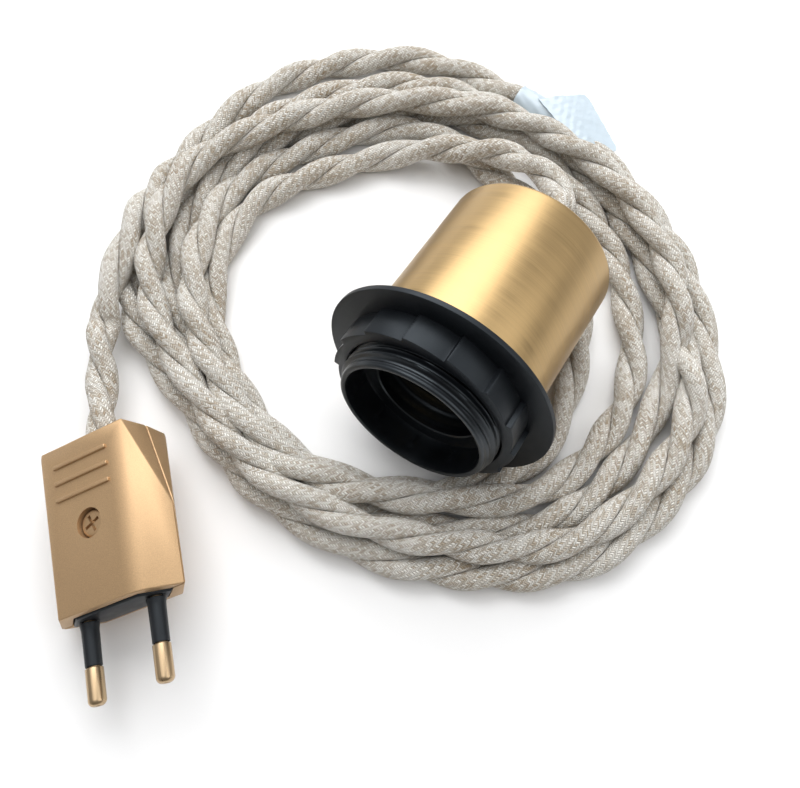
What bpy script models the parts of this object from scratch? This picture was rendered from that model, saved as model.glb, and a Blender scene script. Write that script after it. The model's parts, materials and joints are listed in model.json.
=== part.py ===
"""Plug-in pendant light: a screw-socket lamp holder in a brass cup, on a long twisted two-strand
textile cord that lies in a coil and ends in a flat two-pin plug.

Metres, +Z up. The holder lies on the floor, on the rims of its shade ring and of its cup. +X is
the way that its mouth faces, and the origin is on the floor under the middle of the holder.
"""

import math

import bmesh
import bpy
from mathutils import Matrix, Vector

# Clearance kept wherever one piece fits in, or lies against, another
FIT = 0.0003

# Sides of the turned pieces
SIDES_LARGE = 40
SIDES_SMALL = 20

# Brass cup. Stations along the holder run from the flange's front face, + towards the mouth.
CUP_WALL = 0.0008
CUP_CLEARANCE = 0.0014
CUP_BACK = -0.046
CUP_CORNER_R = 0.001

# Shade ring: a flange that a lampshade is clamped by, with a stepped grip collar
FLANGE_R = 0.029
FLANGE_T = 0.0013
FLANGE_EDGE_R = 0.0005
COLLAR_LENGTH = 0.007
COLLAR_WALL = 0.0035
COLLAR_STEP = 0.0012
COLLAR_STEPS = 14
COLLAR_TURN = math.radians(6.4)

# Threaded skirt of the holder
SKIRT_ROOT_R = 0.0186
RIDGE_HEIGHT = 0.0011
RIDGE_PITCH = 0.0018
RIDGE_LENGTH = 0.0014
RIDGE_FLAT = 0.0005
RIDGE_CLEARANCE = 0.0004
RIDGES_FRONT = 0.0105
RIDGE_COUNT = 12
SKIRT_FRONT = 0.012
SKIRT_BACK = -0.016
SKIRT_WALL = 0.0014
SKIRT_CHAMFER = 0.0005
LIP_FRONT = 0.004
LIP_LENGTH = 0.0016

# Lamp socket inside the skirt
SOCKET_R = 0.0139
SOCKET_RIDGE = 0.0006
SOCKET_PITCH = 0.0036
SOCKET_RIDGES = 4
SOCKET_WALL = 0.0015
SOCKET_BACK = -0.012

# Cap that closes the holder inside the cup
CAP_STEP = 0.0013
CAP_WALL = 0.0022
CAP_BACK = -0.042
CAP_END_WALL = 0.002
CAP_CHAMFER = 0.003
CAP_LEDGE_R = 0.0152

# Contact insert and its brass
INSERT_R = 0.0146
INSERT_FLANGE_T = 0.0037
INSERT_BACK = -0.0235
STRIP_T = 0.0006
STRIP_WIDTH = 0.005
CENTRE_RISE = 0.0024
CENTRE_REACH = 0.009
CENTRE_TIP = 0.002
SIDE_REACH = 0.0055
TERMINAL_SIDE = 0.005
TERMINAL_LENGTH = 0.0065
TERMINAL_Y = 0.0085
SCREW_SHANK_R = 0.0011
SCREW_HEAD_R = 0.0019
SCREW_HEAD_T = 0.0012

# Threaded nipple, its nuts and the cord grip behind the cup
NIPPLE_R = 0.00485
NIPPLE_BORE_R = 0.0036
NIPPLE_BACK = -0.0505
NIPPLE_FRONT = -0.0368
NUT_R = 0.0075
NUT_T = 0.0026
GRIP_R = 0.0065
GRIP_LENGTH = 0.0117
GRIP_CHAMFER = 0.0008
GRIP_SCREW_R = 0.0012

# Cord
CORD_D = 0.0082
CORE_R = 0.0012
CORE_BEND = 0.004
CORE_STRAIGHT = 0.001
CORE_STEP = 0.002

# Plug. Local +Y runs from its pin face to the cord, +Z to its front cover, +X to its right.
PLUG_LENGTH = 0.0402
PLUG_HALF_WIDTH = 0.0177
PLUG_STRAIGHT = 0.0194
PLUG_TAIL_HALF_WIDTH = 0.0131
PLUG_FLAT_HALF_WIDTH = 0.0114
PLUG_TAIL_FLAT_HALF_WIDTH = 0.0124
PLUG_SOFT_EDGE = 0.004
PLUG_HALF_THICKNESS = 0.0073
PLUG_TAIL_HALF_THICKNESS = 0.0078
PLUG_WALL = 0.0018
CARRIER_HALF_WIDTH = 0.0143
CARRIER_FLAT_HALF_WIDTH = 0.0088
CARRIER_HALF_THICKNESS = 0.0049
CARRIER_FRONT = -0.0005
CARRIER_BACK = 0.008
PIN_BASE_SPACING = 0.0192
PIN_TIP_SPACING = 0.0188
PIN_LENGTH = 0.019
PIN_CORE_R = 0.0013
PIN_TIP_R = 0.002
PIN_TIP_CHAMFER = 0.0006
PIN_SLEEVE_LENGTH = 0.0105
PIN_INNER_LENGTH = 0.012
PLUG_SCREW_Y = 0.019
PLUG_SCREW_R = 0.0015
PLUG_SCREW_HEAD_R = 0.0032
PLUG_SCREW_HEAD_T = 0.0018
PLUG_POST_R = 0.0048
RECESS_DEPTH = 0.0028
PLUG_NUT_R = 0.0032
PLUG_NUT_T = 0.0018
GRIP_BAR_COUNT = 3
GRIP_BAR_T = 0.0008
GRIP_BAR_WIDTH = 0.0022
GRIP_BAR_PITCH = 0.0041
GRIP_BAR_LAST_Y = 0.0362
GRIP_BAR_HALF_LENGTH = 0.0096
CLAMP_Y = 0.031
CLAMP_X = 0.0068
CLAMP_WIDTH = 0.004
CLAMP_T = 0.0018
CLAMP_BASE_Z = -0.001
CLAMP_POST_R = 0.0021

# Where the plug lies
PLUG_X = 0.0997
PLUG_Y = -0.0348
PLUG_TURN = math.radians(136.3)
PLUG_PITCH = math.radians(-2.7)
PLUG_ROLL = math.radians(-24.3)

# The coil's middle, and its radii and height at twelve even bearings from +X
COIL_X = -0.0082
COIL_Y = -0.0239
COIL_OUTER = [0.0728, 0.0786, 0.0890, 0.0897, 0.0794, 0.0742, 0.0760, 0.0836, 0.0883, 0.0863, 0.0820, 0.0714]
COIL_INNER = [0.0524, 0.0533, 0.0583, 0.0523, 0.0513, 0.0514, 0.0455, 0.0401, 0.0403, 0.0480, 0.0496, 0.0503]
COIL_HEIGHT = [0.014, 0.014, 0.011, 0.009, 0.009, 0.0084, 0.0084, 0.0084, 0.0084, 0.010, 0.013, 0.014]
COIL_SIDES = 60
COIL_CHAMFER = 0.002

# The cord where it isn't coiled, from the plug to the coil and from the coil to the holder
PLUG_LEAD_BEND = [(0.0636, -0.0746, 0.0092), (0.0570, -0.0811, 0.0070), (0.0505, -0.0878, 0.0050)]
PLUG_LEAD_END = [(0.0434, -0.0931, 0.0042), (0.0372, -0.0978, 0.0042), (0.0325, -0.1008, 0.0042)]
HOLDER_LEAD_START = [(-0.0515, -0.0350, 0.0129), (-0.0532, -0.0262, 0.0129), (-0.0543, -0.0185, 0.0130)]
HOLDER_LEAD_BEND = [(-0.0541, -0.0125, 0.0137), (-0.0515, -0.0065, 0.0150), (-0.0471, -0.0020, 0.0168)]
TUBE_STEP = 0.0085

# Label stuck round the outermost turn, its flag just outside the coil
LABEL_Z = 0.0042
LABEL_T = 0.0006
LABEL_BEARING_FROM = math.radians(182)
LABEL_BEARING_TO = math.radians(163)
LABEL_WIDTH = 0.0085
LABEL_TAPER = math.radians(4)

# Sizes that follow from those above
SKIRT_CREST_R = SKIRT_ROOT_R + RIDGE_HEIGHT
RING_BORE_R = SKIRT_CREST_R + RIDGE_CLEARANCE
COLLAR_R = RING_BORE_R + COLLAR_WALL
CAP_R = SKIRT_ROOT_R + CAP_STEP
CUP_R = CAP_R + CUP_CLEARANCE + CUP_WALL
GRIP_FRONT = CUP_BACK - FIT
GRIP_BACK = GRIP_FRONT - GRIP_LENGTH
NIPPLE_HOLE_R = NIPPLE_R + FIT
CORD_HOLE_R = CORD_D / 2 + FIT

# The tilt at which the flange's rim and the cup's rounded back rim both touch the floor
RIM_RISE = FLANGE_R - (CUP_R - CUP_CORNER_R)
RIM_RUN = -CUP_BACK - CUP_CORNER_R - FLANGE_T
TILT = math.acos(CUP_CORNER_R / math.hypot(RIM_RISE, RIM_RUN)) - math.atan2(RIM_RUN, RIM_RISE)
HOLDER_Z = FLANGE_R * math.cos(TILT) + FLANGE_T * math.sin(TILT)
MOUTH_REACH = SKIRT_FRONT * math.cos(TILT) + SKIRT_ROOT_R * math.sin(TILT)
GRIP_REACH = -GRIP_BACK * math.cos(TILT) + GRIP_R * math.sin(TILT)
HOLDER_X = (GRIP_REACH - MOUTH_REACH) / 2


def clear_scene():
    for obj in list(bpy.data.objects):
        bpy.data.objects.remove(obj, do_unlink=True)


def plain_material(name, colour, metallic, roughness):
    material = bpy.data.materials.new(name)
    material.use_nodes = True
    shader = material.node_tree.nodes["Principled BSDF"]
    shader.inputs["Base Color"].default_value = (*colour, 1.0)
    shader.inputs["Metallic"].default_value = metallic
    shader.inputs["Roughness"].default_value = roughness
    return material


def empty(name, location, rotation, order="XYZ"):
    obj = bpy.data.objects.new(name, None)
    obj.empty_display_size = 0.01
    obj.rotation_mode = order
    obj.location = location
    obj.rotation_euler = rotation
    bpy.context.scene.collection.objects.link(obj)
    return obj


def solid(name, bm, material, parent=None, location=(0, 0, 0), rotation=(0, 0, 0)):
    """Turns a closed bmesh into a named object, smooth but for its sharp edges."""
    bmesh.ops.remove_doubles(bm, verts=bm.verts, dist=1e-6)
    bmesh.ops.recalc_face_normals(bm, faces=bm.faces)
    mesh = bpy.data.meshes.new(name)
    bm.to_mesh(mesh)
    bm.free()
    mesh.shade_smooth()
    mesh.set_sharp_from_angle(angle=math.radians(35))
    obj = bpy.data.objects.new(name, mesh)
    obj.data.materials.append(material)
    bpy.context.scene.collection.objects.link(obj)
    obj.parent = parent
    obj.location = location
    obj.rotation_euler = rotation
    return obj


def combine(obj, other, operation):
    """Joins or cuts an object with a helper, which stays in the scene as a wire guide."""
    other.hide_render = True
    other.display_type = "WIRE"
    boolean = obj.modifiers.new(other.name, "BOOLEAN")
    boolean.operation = operation
    boolean.object = other
    boolean.solver = "EXACT"


def turned_mesh(profile, sides):
    """A closed profile of (station, radius) pairs, spun about the local X axis."""
    bm = bmesh.new()
    points = [bm.verts.new((station, 0.0, radius)) for station, radius in profile]
    for i, point in enumerate(points):
        following = points[(i + 1) % len(points)]
        on_axis = point.co.z < 1e-9 and following.co.z < 1e-9
        if not on_axis:
            bm.edges.new((point, following))
    bmesh.ops.spin(
        bm,
        geom=bm.verts[:] + bm.edges[:],
        cent=(0, 0, 0),
        axis=(1, 0, 0),
        angle=2 * math.pi,
        steps=sides,
        use_merge=True,
    )
    return bm


def turned(name, profile, sides, material, parent=None, location=(0, 0, 0), rotation=(0, 0, 0)):
    return solid(name, turned_mesh(profile, sides), material, parent, location, rotation)


def prism_mesh(outline, near, far, axis):
    """An outline extruded along an axis: X takes (y, z) points, Y takes (x, z), Z takes (x, y)."""
    place = {
        "X": lambda a, b, along: (along, a, b),
        "Y": lambda a, b, along: (a, along, b),
        "Z": lambda a, b, along: (a, b, along),
    }[axis]
    bm = bmesh.new()
    face = bm.faces.new([bm.verts.new(place(a, b, near)) for a, b in outline])
    pushed = bmesh.ops.extrude_face_region(bm, geom=[face])["geom"]
    step = Vector(place(0.0, 0.0, far - near))
    bmesh.ops.translate(bm, verts=[v for v in pushed if isinstance(v, bmesh.types.BMVert)], vec=step)
    return bm


def prism(name, outline, near, far, axis, material, parent=None, location=(0, 0, 0)):
    return solid(name, prism_mesh(outline, near, far, axis), material, parent, location)


def hull(name, points, material, parent):
    bm = bmesh.new()
    for point in points:
        bm.verts.new(point)
    bmesh.ops.convex_hull(bm, input=bm.verts)
    return solid(name, bm, material, parent)


def circle(radius, sides, turn=0.0):
    steps = (turn + 2 * math.pi * i / sides for i in range(sides))
    return [(radius * math.cos(angle), radius * math.sin(angle)) for angle in steps]


def rod(near, far, radius):
    """Profile of a plain round bar."""
    return [(near, 0.0), (near, radius), (far, radius), (far, 0.0)]


def washer(near, far, inner, outer):
    """Profile of a plain ring."""
    return [(near, inner), (near, outer), (far, outer), (far, inner)]


def smooth_between(a, b, c, d, share):
    """Cubic value between b and c, with a and d as its neighbours."""
    return b + 0.5 * share * (
        c - a + share * (2 * a - 5 * b + 4 * c - d + share * (3 * (b - c) + d - a))
    )


def at_bearing(values, bearing):
    """Smooth value all the way round, from values at even bearings."""
    count = len(values)
    place = (bearing / (2 * math.pi)) % 1.0 * count
    i = int(place)
    return smooth_between(*(values[(i + k) % count] for k in (-1, 0, 1, 2)), place - i)


def smooth_route(points, step):
    """Points every step or so along a smooth curve through the route's own points."""
    route = []
    for i in range(len(points) - 1):
        four = [Vector(points[min(max(i + k, 0), len(points) - 1)]) for k in (-1, 0, 1, 2)]
        count = max(1, round((four[2] - four[1]).length / step))
        route += [smooth_between(*four, k / count) for k in range(count)]
    return route + [Vector(points[-1])]


def tube(name, points, radius, material, parent=None):
    curve = bpy.data.curves.new(name, "CURVE")
    curve.dimensions = "3D"
    curve.bevel_depth = radius
    curve.bevel_resolution = 2
    curve.use_fill_caps = True
    spline = curve.splines.new("POLY")
    spline.points.add(len(points) - 1)
    for place, point in zip(spline.points, points):
        place.co = (*point, 1.0)
    curve.materials.append(material)
    obj = bpy.data.objects.new(name, curve)
    obj.parent = parent
    bpy.context.scene.collection.objects.link(obj)
    return obj


def brass_cup(material, parent):
    centre = (CUP_BACK + CUP_CORNER_R, CUP_R - CUP_CORNER_R)
    corner = [
        (centre[0] - CUP_CORNER_R * math.sin(turn), centre[1] + CUP_CORNER_R * math.cos(turn))
        for turn in (0.0, math.pi / 6, math.pi / 3, math.pi / 2)
    ]
    inner_r = CUP_R - CUP_WALL
    inner_back = CUP_BACK + CUP_WALL
    front = -FLANGE_T - FIT
    profile = [(front, CUP_R), *corner, (CUP_BACK, NIPPLE_HOLE_R), (inner_back, NIPPLE_HOLE_R)]
    profile += [(inner_back, inner_r), (front, inner_r)]
    turned("brass_cup", profile, SIDES_LARGE, material, parent)


def collar_outline():
    """Round outline in even steps, each one rising and then falling back like a ratchet's tooth."""
    outline = []
    for i in range(COLLAR_STEPS):
        start = COLLAR_TURN + 2 * math.pi * i / COLLAR_STEPS
        for share in (0.0, 0.33, 0.66, 0.97):
            radius = COLLAR_R - COLLAR_STEP * (1 - share)
            angle = start + share * 2 * math.pi / COLLAR_STEPS
            outline.append((radius * math.cos(angle), radius * math.sin(angle)))
    return outline


def shade_ring(material, parent):
    edge = FLANGE_EDGE_R
    flange = [(-FLANGE_T, 0.0), (-FLANGE_T, FLANGE_R - edge), (-FLANGE_T + edge, FLANGE_R)]
    flange += [(-edge, FLANGE_R), (0.0, FLANGE_R - edge), (0.0, 0.0)]
    ring = turned("shade_ring", flange, SIDES_LARGE, material, parent)
    collar = prism("collar_guide", collar_outline(), -FLANGE_T / 2, COLLAR_LENGTH, "X", material, parent)
    combine(ring, collar, "UNION")
    bore = rod(-2 * FLANGE_T, COLLAR_LENGTH + FLANGE_T, RING_BORE_R)
    combine(ring, turned("ring_bore_cutter", bore, SIDES_LARGE, material, parent), "DIFFERENCE")


def holder_skirt(material, parent):
    """One moulding: an outer wall with the shade ring's thread, a front lip and the lamp's socket."""
    chamfer = SKIRT_CHAMFER
    outer = [(SKIRT_FRONT, SKIRT_ROOT_R - chamfer), (SKIRT_FRONT - chamfer, SKIRT_ROOT_R)]
    for i in range(RIDGE_COUNT):
        middle = RIDGES_FRONT - i * RIDGE_PITCH
        outer += [(middle + RIDGE_LENGTH / 2, SKIRT_ROOT_R), (middle + RIDGE_FLAT / 2, SKIRT_CREST_R)]
        outer += [(middle - RIDGE_FLAT / 2, SKIRT_CREST_R), (middle - RIDGE_LENGTH / 2, SKIRT_ROOT_R)]
    wall_r = SKIRT_ROOT_R - SKIRT_WALL
    lip_back = LIP_FRONT - LIP_LENGTH
    socket_outer = SOCKET_R + SOCKET_WALL
    behind = [(SKIRT_BACK, SKIRT_ROOT_R), (SKIRT_BACK, wall_r), (lip_back, wall_r)]
    behind += [(lip_back, socket_outer), (SOCKET_BACK, socket_outer), (SOCKET_BACK, SOCKET_R)]
    socket = []
    for i in reversed(range(SOCKET_RIDGES)):
        middle = lip_back - SOCKET_PITCH * (i + 0.5) + SOCKET_PITCH / 4
        socket += [(middle - SOCKET_PITCH / 3, SOCKET_R), (middle, SOCKET_R - SOCKET_RIDGE)]
    lip_r = SOCKET_R - SOCKET_RIDGE
    front = [(lip_back, lip_r), (LIP_FRONT, lip_r), (LIP_FRONT, wall_r - chamfer)]
    front += [(LIP_FRONT + chamfer, wall_r), (SKIRT_FRONT, wall_r)]
    turned("holder_skirt", outer + behind + socket + front, SIDES_LARGE, material, parent)


def holder_cap(material, parent):
    """Cap behind the skirt. Its ledge and the skirt's back rim hold the contact insert between them."""
    front = SKIRT_BACK - FIT
    ledge = front - INSERT_FLANGE_T - FIT
    inner_r = CAP_R - CAP_WALL
    end = CAP_BACK + CAP_END_WALL
    profile = [(front, CAP_R), (CAP_BACK + CAP_CHAMFER, CAP_R), (CAP_BACK, CAP_R - CAP_CHAMFER)]
    profile += [(CAP_BACK, NIPPLE_HOLE_R), (end, NIPPLE_HOLE_R), (end, CAP_LEDGE_R - CAP_CHAMFER)]
    profile += [(end + CAP_CHAMFER, CAP_LEDGE_R), (ledge, CAP_LEDGE_R), (ledge, inner_r), (front, inner_r)]
    turned("holder_cap", profile, SIDES_LARGE, material, parent)


def contact_insert(material, parent):
    flange_r = CAP_R - CAP_WALL - FIT
    flange_front = SKIRT_BACK - FIT
    flange_back = flange_front - INSERT_FLANGE_T
    front = SOCKET_BACK - FIT
    back_r = CAP_LEDGE_R - FIT
    profile = [(front, 0.0), (front, INSERT_R), (flange_front, INSERT_R), (flange_front, flange_r)]
    profile += [(flange_back, flange_r), (flange_back, back_r), (INSERT_BACK, back_r), (INSERT_BACK, 0.0)]
    turned("contact_insert", profile, SIDES_LARGE, material, parent)


def contact_strip(name, route, material, parent):
    """A bent brass strip: its route in the XZ plane, thickened and pushed out to its width."""
    left = []
    right = []
    for i, (x, z) in enumerate(route):
        before = Vector(route[max(i - 1, 0)])
        after = Vector(route[min(i + 1, len(route) - 1)])
        across = (after - before).normalized()
        left.append((x - across.y * STRIP_T / 2, z + across.x * STRIP_T / 2))
        right.append((x + across.y * STRIP_T / 2, z - across.x * STRIP_T / 2))
    prism(name, left + right[::-1], -STRIP_WIDTH / 2, STRIP_WIDTH / 2, "Y", material, parent)


def contacts(material, parent):
    """The springs that the lamp's base presses on: one in the middle, one at the thread's side."""
    foot = SOCKET_BACK + STRIP_T / 2
    low = foot + CENTRE_RISE * 2 / 3
    high = foot + CENTRE_RISE
    middle = [(foot, -CENTRE_REACH), (foot, -CENTRE_REACH / 2), (low, -CENTRE_TIP), (high, 0.0)]
    middle += [(high - STRIP_T / 3, CENTRE_TIP)]
    contact_strip("centre_contact", middle, material, parent)
    side_r = SOCKET_R - SOCKET_RIDGE - FIT - STRIP_T
    spring_r = side_r - STRIP_T / 3
    side = [(foot, side_r / 2), (foot, side_r - 2 * STRIP_T), (foot + SIDE_REACH / 5, spring_r)]
    side += [(foot + SIDE_REACH * 3 / 4, spring_r), (foot + SIDE_REACH, side_r - 2 * STRIP_T)]
    contact_strip("side_contact", side, material, parent)


def terminal(name, x, y, z, axis, parent, brass, steel):
    """A brass clamp block, with a screw whose shank stands in a hole from the block's top."""
    half = TERMINAL_SIDE / 2
    square = [(-half, -half), (half, -half), (half, half), (-half, half)]
    block = prism(name, square, 0.0, TERMINAL_LENGTH, axis, brass, parent, (x, y, z))
    along = Vector((TERMINAL_LENGTH / 2, 0, 0)) if axis == "X" else Vector((0, TERMINAL_LENGTH / 2, 0))
    top = Vector((x, y, z)) + along + Vector((0, 0, half))
    upright = (0, -math.pi / 2, 0)
    hole = rod(-TERMINAL_SIDE * 0.7, FIT * 2, SCREW_SHANK_R + FIT)
    cutter = turned(name + "_hole_cutter", hole, SIDES_SMALL, brass, parent, top, upright)
    combine(block, cutter, "DIFFERENCE")
    screw = [(-TERMINAL_SIDE * 0.6, 0.0), (-TERMINAL_SIDE * 0.6, SCREW_SHANK_R), (FIT, SCREW_SHANK_R)]
    screw += [(FIT, SCREW_HEAD_R), (FIT + SCREW_HEAD_T, SCREW_HEAD_R), (FIT + SCREW_HEAD_T, 0.0)]
    turned(name + "_screw", screw, SIDES_SMALL, steel, parent, top, upright)


def nipple_and_nuts(steel, parent):
    tube_wall = washer(NIPPLE_BACK, NIPPLE_FRONT, NIPPLE_BORE_R, NIPPLE_R)
    turned("nipple", tube_wall, SIDES_SMALL, steel, parent)
    cup_inside = CUP_BACK + CUP_WALL + FIT
    cap_inside = CAP_BACK + CAP_END_WALL + FIT
    places = {"cup_nut": cup_inside, "cap_nut": cap_inside}
    for name, back in places.items():
        nut = prism(name, circle(NUT_R, 6), back, back + NUT_T, "X", steel, parent)
        bore = rod(back - NUT_T, back + 2 * NUT_T, NIPPLE_HOLE_R)
        combine(nut, turned(name + "_cutter", bore, SIDES_SMALL, steel, parent), "DIFFERENCE")


def cord_grip(brass, steel, parent):
    """Turned brass gland behind the cup, with a small set screw that pinches the cord."""
    seat = NIPPLE_BACK - FIT
    profile = [(GRIP_FRONT, NIPPLE_HOLE_R), (GRIP_FRONT, GRIP_R), (GRIP_BACK + GRIP_CHAMFER, GRIP_R)]
    profile += [(GRIP_BACK, GRIP_R - GRIP_CHAMFER), (GRIP_BACK, CORD_HOLE_R), (seat, CORD_HOLE_R)]
    profile += [(seat, NIPPLE_HOLE_R)]
    grip = turned("cord_grip", profile, SIDES_SMALL, brass, parent)
    middle = (GRIP_BACK + seat) / 2
    upright = (0, -math.pi / 2, 0)
    hole = rod(CORD_HOLE_R - 2 * FIT, GRIP_R + FIT, GRIP_SCREW_R + FIT)
    cutter = turned("grip_screw_cutter", hole, SIDES_SMALL, steel, parent, (middle, 0, 0), upright)
    combine(grip, cutter, "DIFFERENCE")
    screw = rod(CORD_HOLE_R, GRIP_R - FIT, GRIP_SCREW_R)
    turned("grip_screw", screw, SIDES_SMALL, steel, parent, (middle, 0, 0), upright)


def holder_cores(materials, parent):
    """The two insulated cores, from the cord's end through the nipple to the terminals."""
    terminal_back = INSERT_BACK - FIT - TERMINAL_LENGTH
    half_gap = CORE_R + FIT
    for name, side, material in (("left", -1, materials[0]), ("right", 1, materials[1])):
        route = [(GRIP_BACK + FIT, side * half_gap, 0.0), (NIPPLE_BACK, side * half_gap, 0.0)]
        route += [(NIPPLE_FRONT, side * (half_gap + FIT), 0.0)]
        route += [(terminal_back - CORE_BEND, side * TERMINAL_Y * 0.85, 0.0)]
        route += [(terminal_back - CORE_STRAIGHT, side * TERMINAL_Y, 0.0)]
        route += [(terminal_back - FIT, side * TERMINAL_Y, 0.0)]
        tube("holder_core_" + name, smooth_route(route, CORE_STEP), CORE_R, material, parent)


def plug_shell_points(side, wall):
    """Corners of one half of the plug's body, side +1 at the front and -1 at the back. With a wall
    given, they are the corners of the hollow inside, which reaches past the parting plane."""
    parting = -side * wall if wall else side * FIT / 2
    near = wall
    far = PLUG_LENGTH - wall
    top = side * (PLUG_HALF_THICKNESS - wall)
    tail_top = side * (PLUG_TAIL_HALF_THICKNESS - wall)
    points = []
    for x in (-1, 1):
        if wall or side < 0 or x < 0:
            points.append((x * (PLUG_FLAT_HALF_WIDTH - wall / 2), near, top))
        points.append((x * (PLUG_HALF_WIDTH - wall), near, side * FIT / 2))
        points.append((x * (PLUG_HALF_WIDTH - wall), PLUG_STRAIGHT, side * FIT / 2))
        points.append((x * (PLUG_TAIL_FLAT_HALF_WIDTH - wall), far, tail_top))
        points.append((x * (PLUG_TAIL_HALF_WIDTH - wall), far, side * FIT / 2))
        if wall:
            points.append((x * (PLUG_HALF_WIDTH - wall), near, parting))
            points.append((x * (PLUG_HALF_WIDTH - wall), PLUG_STRAIGHT, parting))
            points.append((x * (PLUG_TAIL_HALF_WIDTH - wall), far, parting))
    if side > 0 and not wall:
        points += soft_edge_points()
    return points


def soft_edge_points():
    """Points round the front cover's right edge at the pin face. The edge is sharp at the tail and
    grows softer towards the pins."""
    corner = Vector((PLUG_FLAT_HALF_WIDTH, 0.0, PLUG_HALF_THICKNESS))
    slope = (Vector((PLUG_HALF_WIDTH, 0.0, 0.0)) - corner).normalized()
    start = corner - Vector((PLUG_SOFT_EDGE, 0.0, 0.0))
    end = corner + PLUG_SOFT_EDGE * slope
    points = []
    for share in (0.0, 0.25, 0.5, 0.75, 1.0):
        point = start * (1 - share) ** 2 + corner * 2 * share * (1 - share) + end * share**2
        points.append(tuple(point))
    return points


def carrier_outline(extra):
    wide = CARRIER_HALF_WIDTH + extra
    flat = CARRIER_FLAT_HALF_WIDTH + extra
    high = CARRIER_HALF_THICKNESS + extra
    return [(-wide, 0), (-flat, -high), (flat, -high), (wide, 0), (flat, high), (-flat, high)]


def plug_cover(name, side, material, parent):
    """Half of the plug's shell, hollow but for the screw's post, with the carrier's slot, the cord's
    hole and the screw's hole and recess."""
    cover = hull(name, plug_shell_points(side, 0.0), material, parent)
    hollow = hull(name + "_hollow_cutter", plug_shell_points(side, PLUG_WALL), material, parent)
    upright = (0, -math.pi / 2, 0)
    screw_place = (0, PLUG_SCREW_Y, 0)
    post = rod(-PLUG_HALF_THICKNESS, PLUG_HALF_THICKNESS, PLUG_POST_R)
    guide = turned(name + "_post_cutter", post, SIDES_SMALL, material, parent, screw_place, upright)
    combine(hollow, guide, "DIFFERENCE")
    if side < 0:
        for x in (-CLAMP_X, CLAMP_X):
            boss = rod(-PLUG_TAIL_HALF_THICKNESS, CLAMP_BASE_Z, CLAMP_POST_R)
            place = (x, CLAMP_Y, 0)
            label = "left" if x < 0 else "right"
            boss_name = name + "_boss_cutter_" + label
            guide = turned(boss_name, boss, SIDES_SMALL, material, parent, place, upright)
            combine(hollow, guide, "DIFFERENCE")
    combine(cover, hollow, "DIFFERENCE")
    opening = carrier_outline(FIT)
    slot = prism(name + "_slot_cutter", opening, -PLUG_WALL, CARRIER_BACK, "Y", material, parent)
    combine(cover, slot, "DIFFERENCE")
    hole = rod(PLUG_LENGTH - 2 * PLUG_WALL, PLUG_LENGTH + PLUG_WALL, CORD_HOLE_R)
    cord = turned(name + "_cord_cutter", hole, SIDES_SMALL, material, parent, (0, 0, 0), (0, 0, math.pi / 2))
    combine(cover, cord, "DIFFERENCE")
    bore = rod(-PLUG_LENGTH, PLUG_LENGTH, PLUG_SCREW_R + FIT)
    shank = turned(name + "_screw_cutter", bore, SIDES_SMALL, material, parent, screw_place, upright)
    combine(cover, shank, "DIFFERENCE")
    outside = PLUG_HALF_THICKNESS + RECESS_DEPTH
    depth = PLUG_HALF_THICKNESS - RECESS_DEPTH
    if side > 0:
        recess = rod(depth, outside, PLUG_SCREW_HEAD_R + FIT)
    else:
        recess = rod(-outside, -depth, PLUG_NUT_R + FIT)
    socket = turned(name + "_recess_cutter", recess, SIDES_SMALL, material, parent, screw_place, upright)
    combine(cover, socket, "DIFFERENCE")
    return cover


def plug_grip_bars(cover, material, parent):
    """Raised bars across the front cover near the cord, sunk into it a little and part of it."""
    for i in range(GRIP_BAR_COUNT):
        middle = GRIP_BAR_LAST_Y - i * GRIP_BAR_PITCH
        slope = (PLUG_TAIL_HALF_THICKNESS - PLUG_HALF_THICKNESS) / PLUG_LENGTH
        surface = PLUG_HALF_THICKNESS + slope * middle
        low = surface - PLUG_WALL / 2
        high = surface + GRIP_BAR_T
        edge = GRIP_BAR_T
        outline = [(-GRIP_BAR_HALF_LENGTH, low), (GRIP_BAR_HALF_LENGTH, low)]
        outline += [(GRIP_BAR_HALF_LENGTH - edge, high), (edge - GRIP_BAR_HALF_LENGTH, high)]
        near = middle - GRIP_BAR_WIDTH / 2
        bar = prism(f"grip_bar_guide_{i + 1}", outline, near, near + GRIP_BAR_WIDTH, "Y", material, parent)
        combine(cover, bar, "UNION")


def plug_pins(brass, black, parent):
    """Each pin is a brass core with a full-width tip, and a plastic sleeve round it by the plug."""
    splay = math.atan2((PIN_TIP_SPACING - PIN_BASE_SPACING) / 2, PIN_LENGTH)
    tip = PIN_TIP_CHAMFER
    for name, side in (("left", -1), ("right", 1)):
        place = (side * PIN_BASE_SPACING / 2, 0.0, 0.0)
        turn = (0, 0, -math.pi / 2 + side * splay)
        sleeve_end = PIN_SLEEVE_LENGTH
        profile = [(-PIN_INNER_LENGTH, 0.0), (-PIN_INNER_LENGTH, PIN_CORE_R)]
        profile += [(sleeve_end + FIT, PIN_CORE_R), (sleeve_end + FIT, PIN_TIP_R)]
        profile += [(PIN_LENGTH - 2 * tip, PIN_TIP_R), (PIN_LENGTH - tip / 2, PIN_TIP_R - tip)]
        profile += [(PIN_LENGTH, PIN_TIP_R / 2), (PIN_LENGTH, 0.0)]
        turned("plug_pin_" + name, profile, SIDES_SMALL, brass, parent, place, turn)
        sleeve = washer(FIT - CARRIER_FRONT, sleeve_end, PIN_CORE_R + FIT, PIN_TIP_R)
        turned("pin_sleeve_" + name, sleeve, SIDES_SMALL, black, parent, place, turn)


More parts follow.
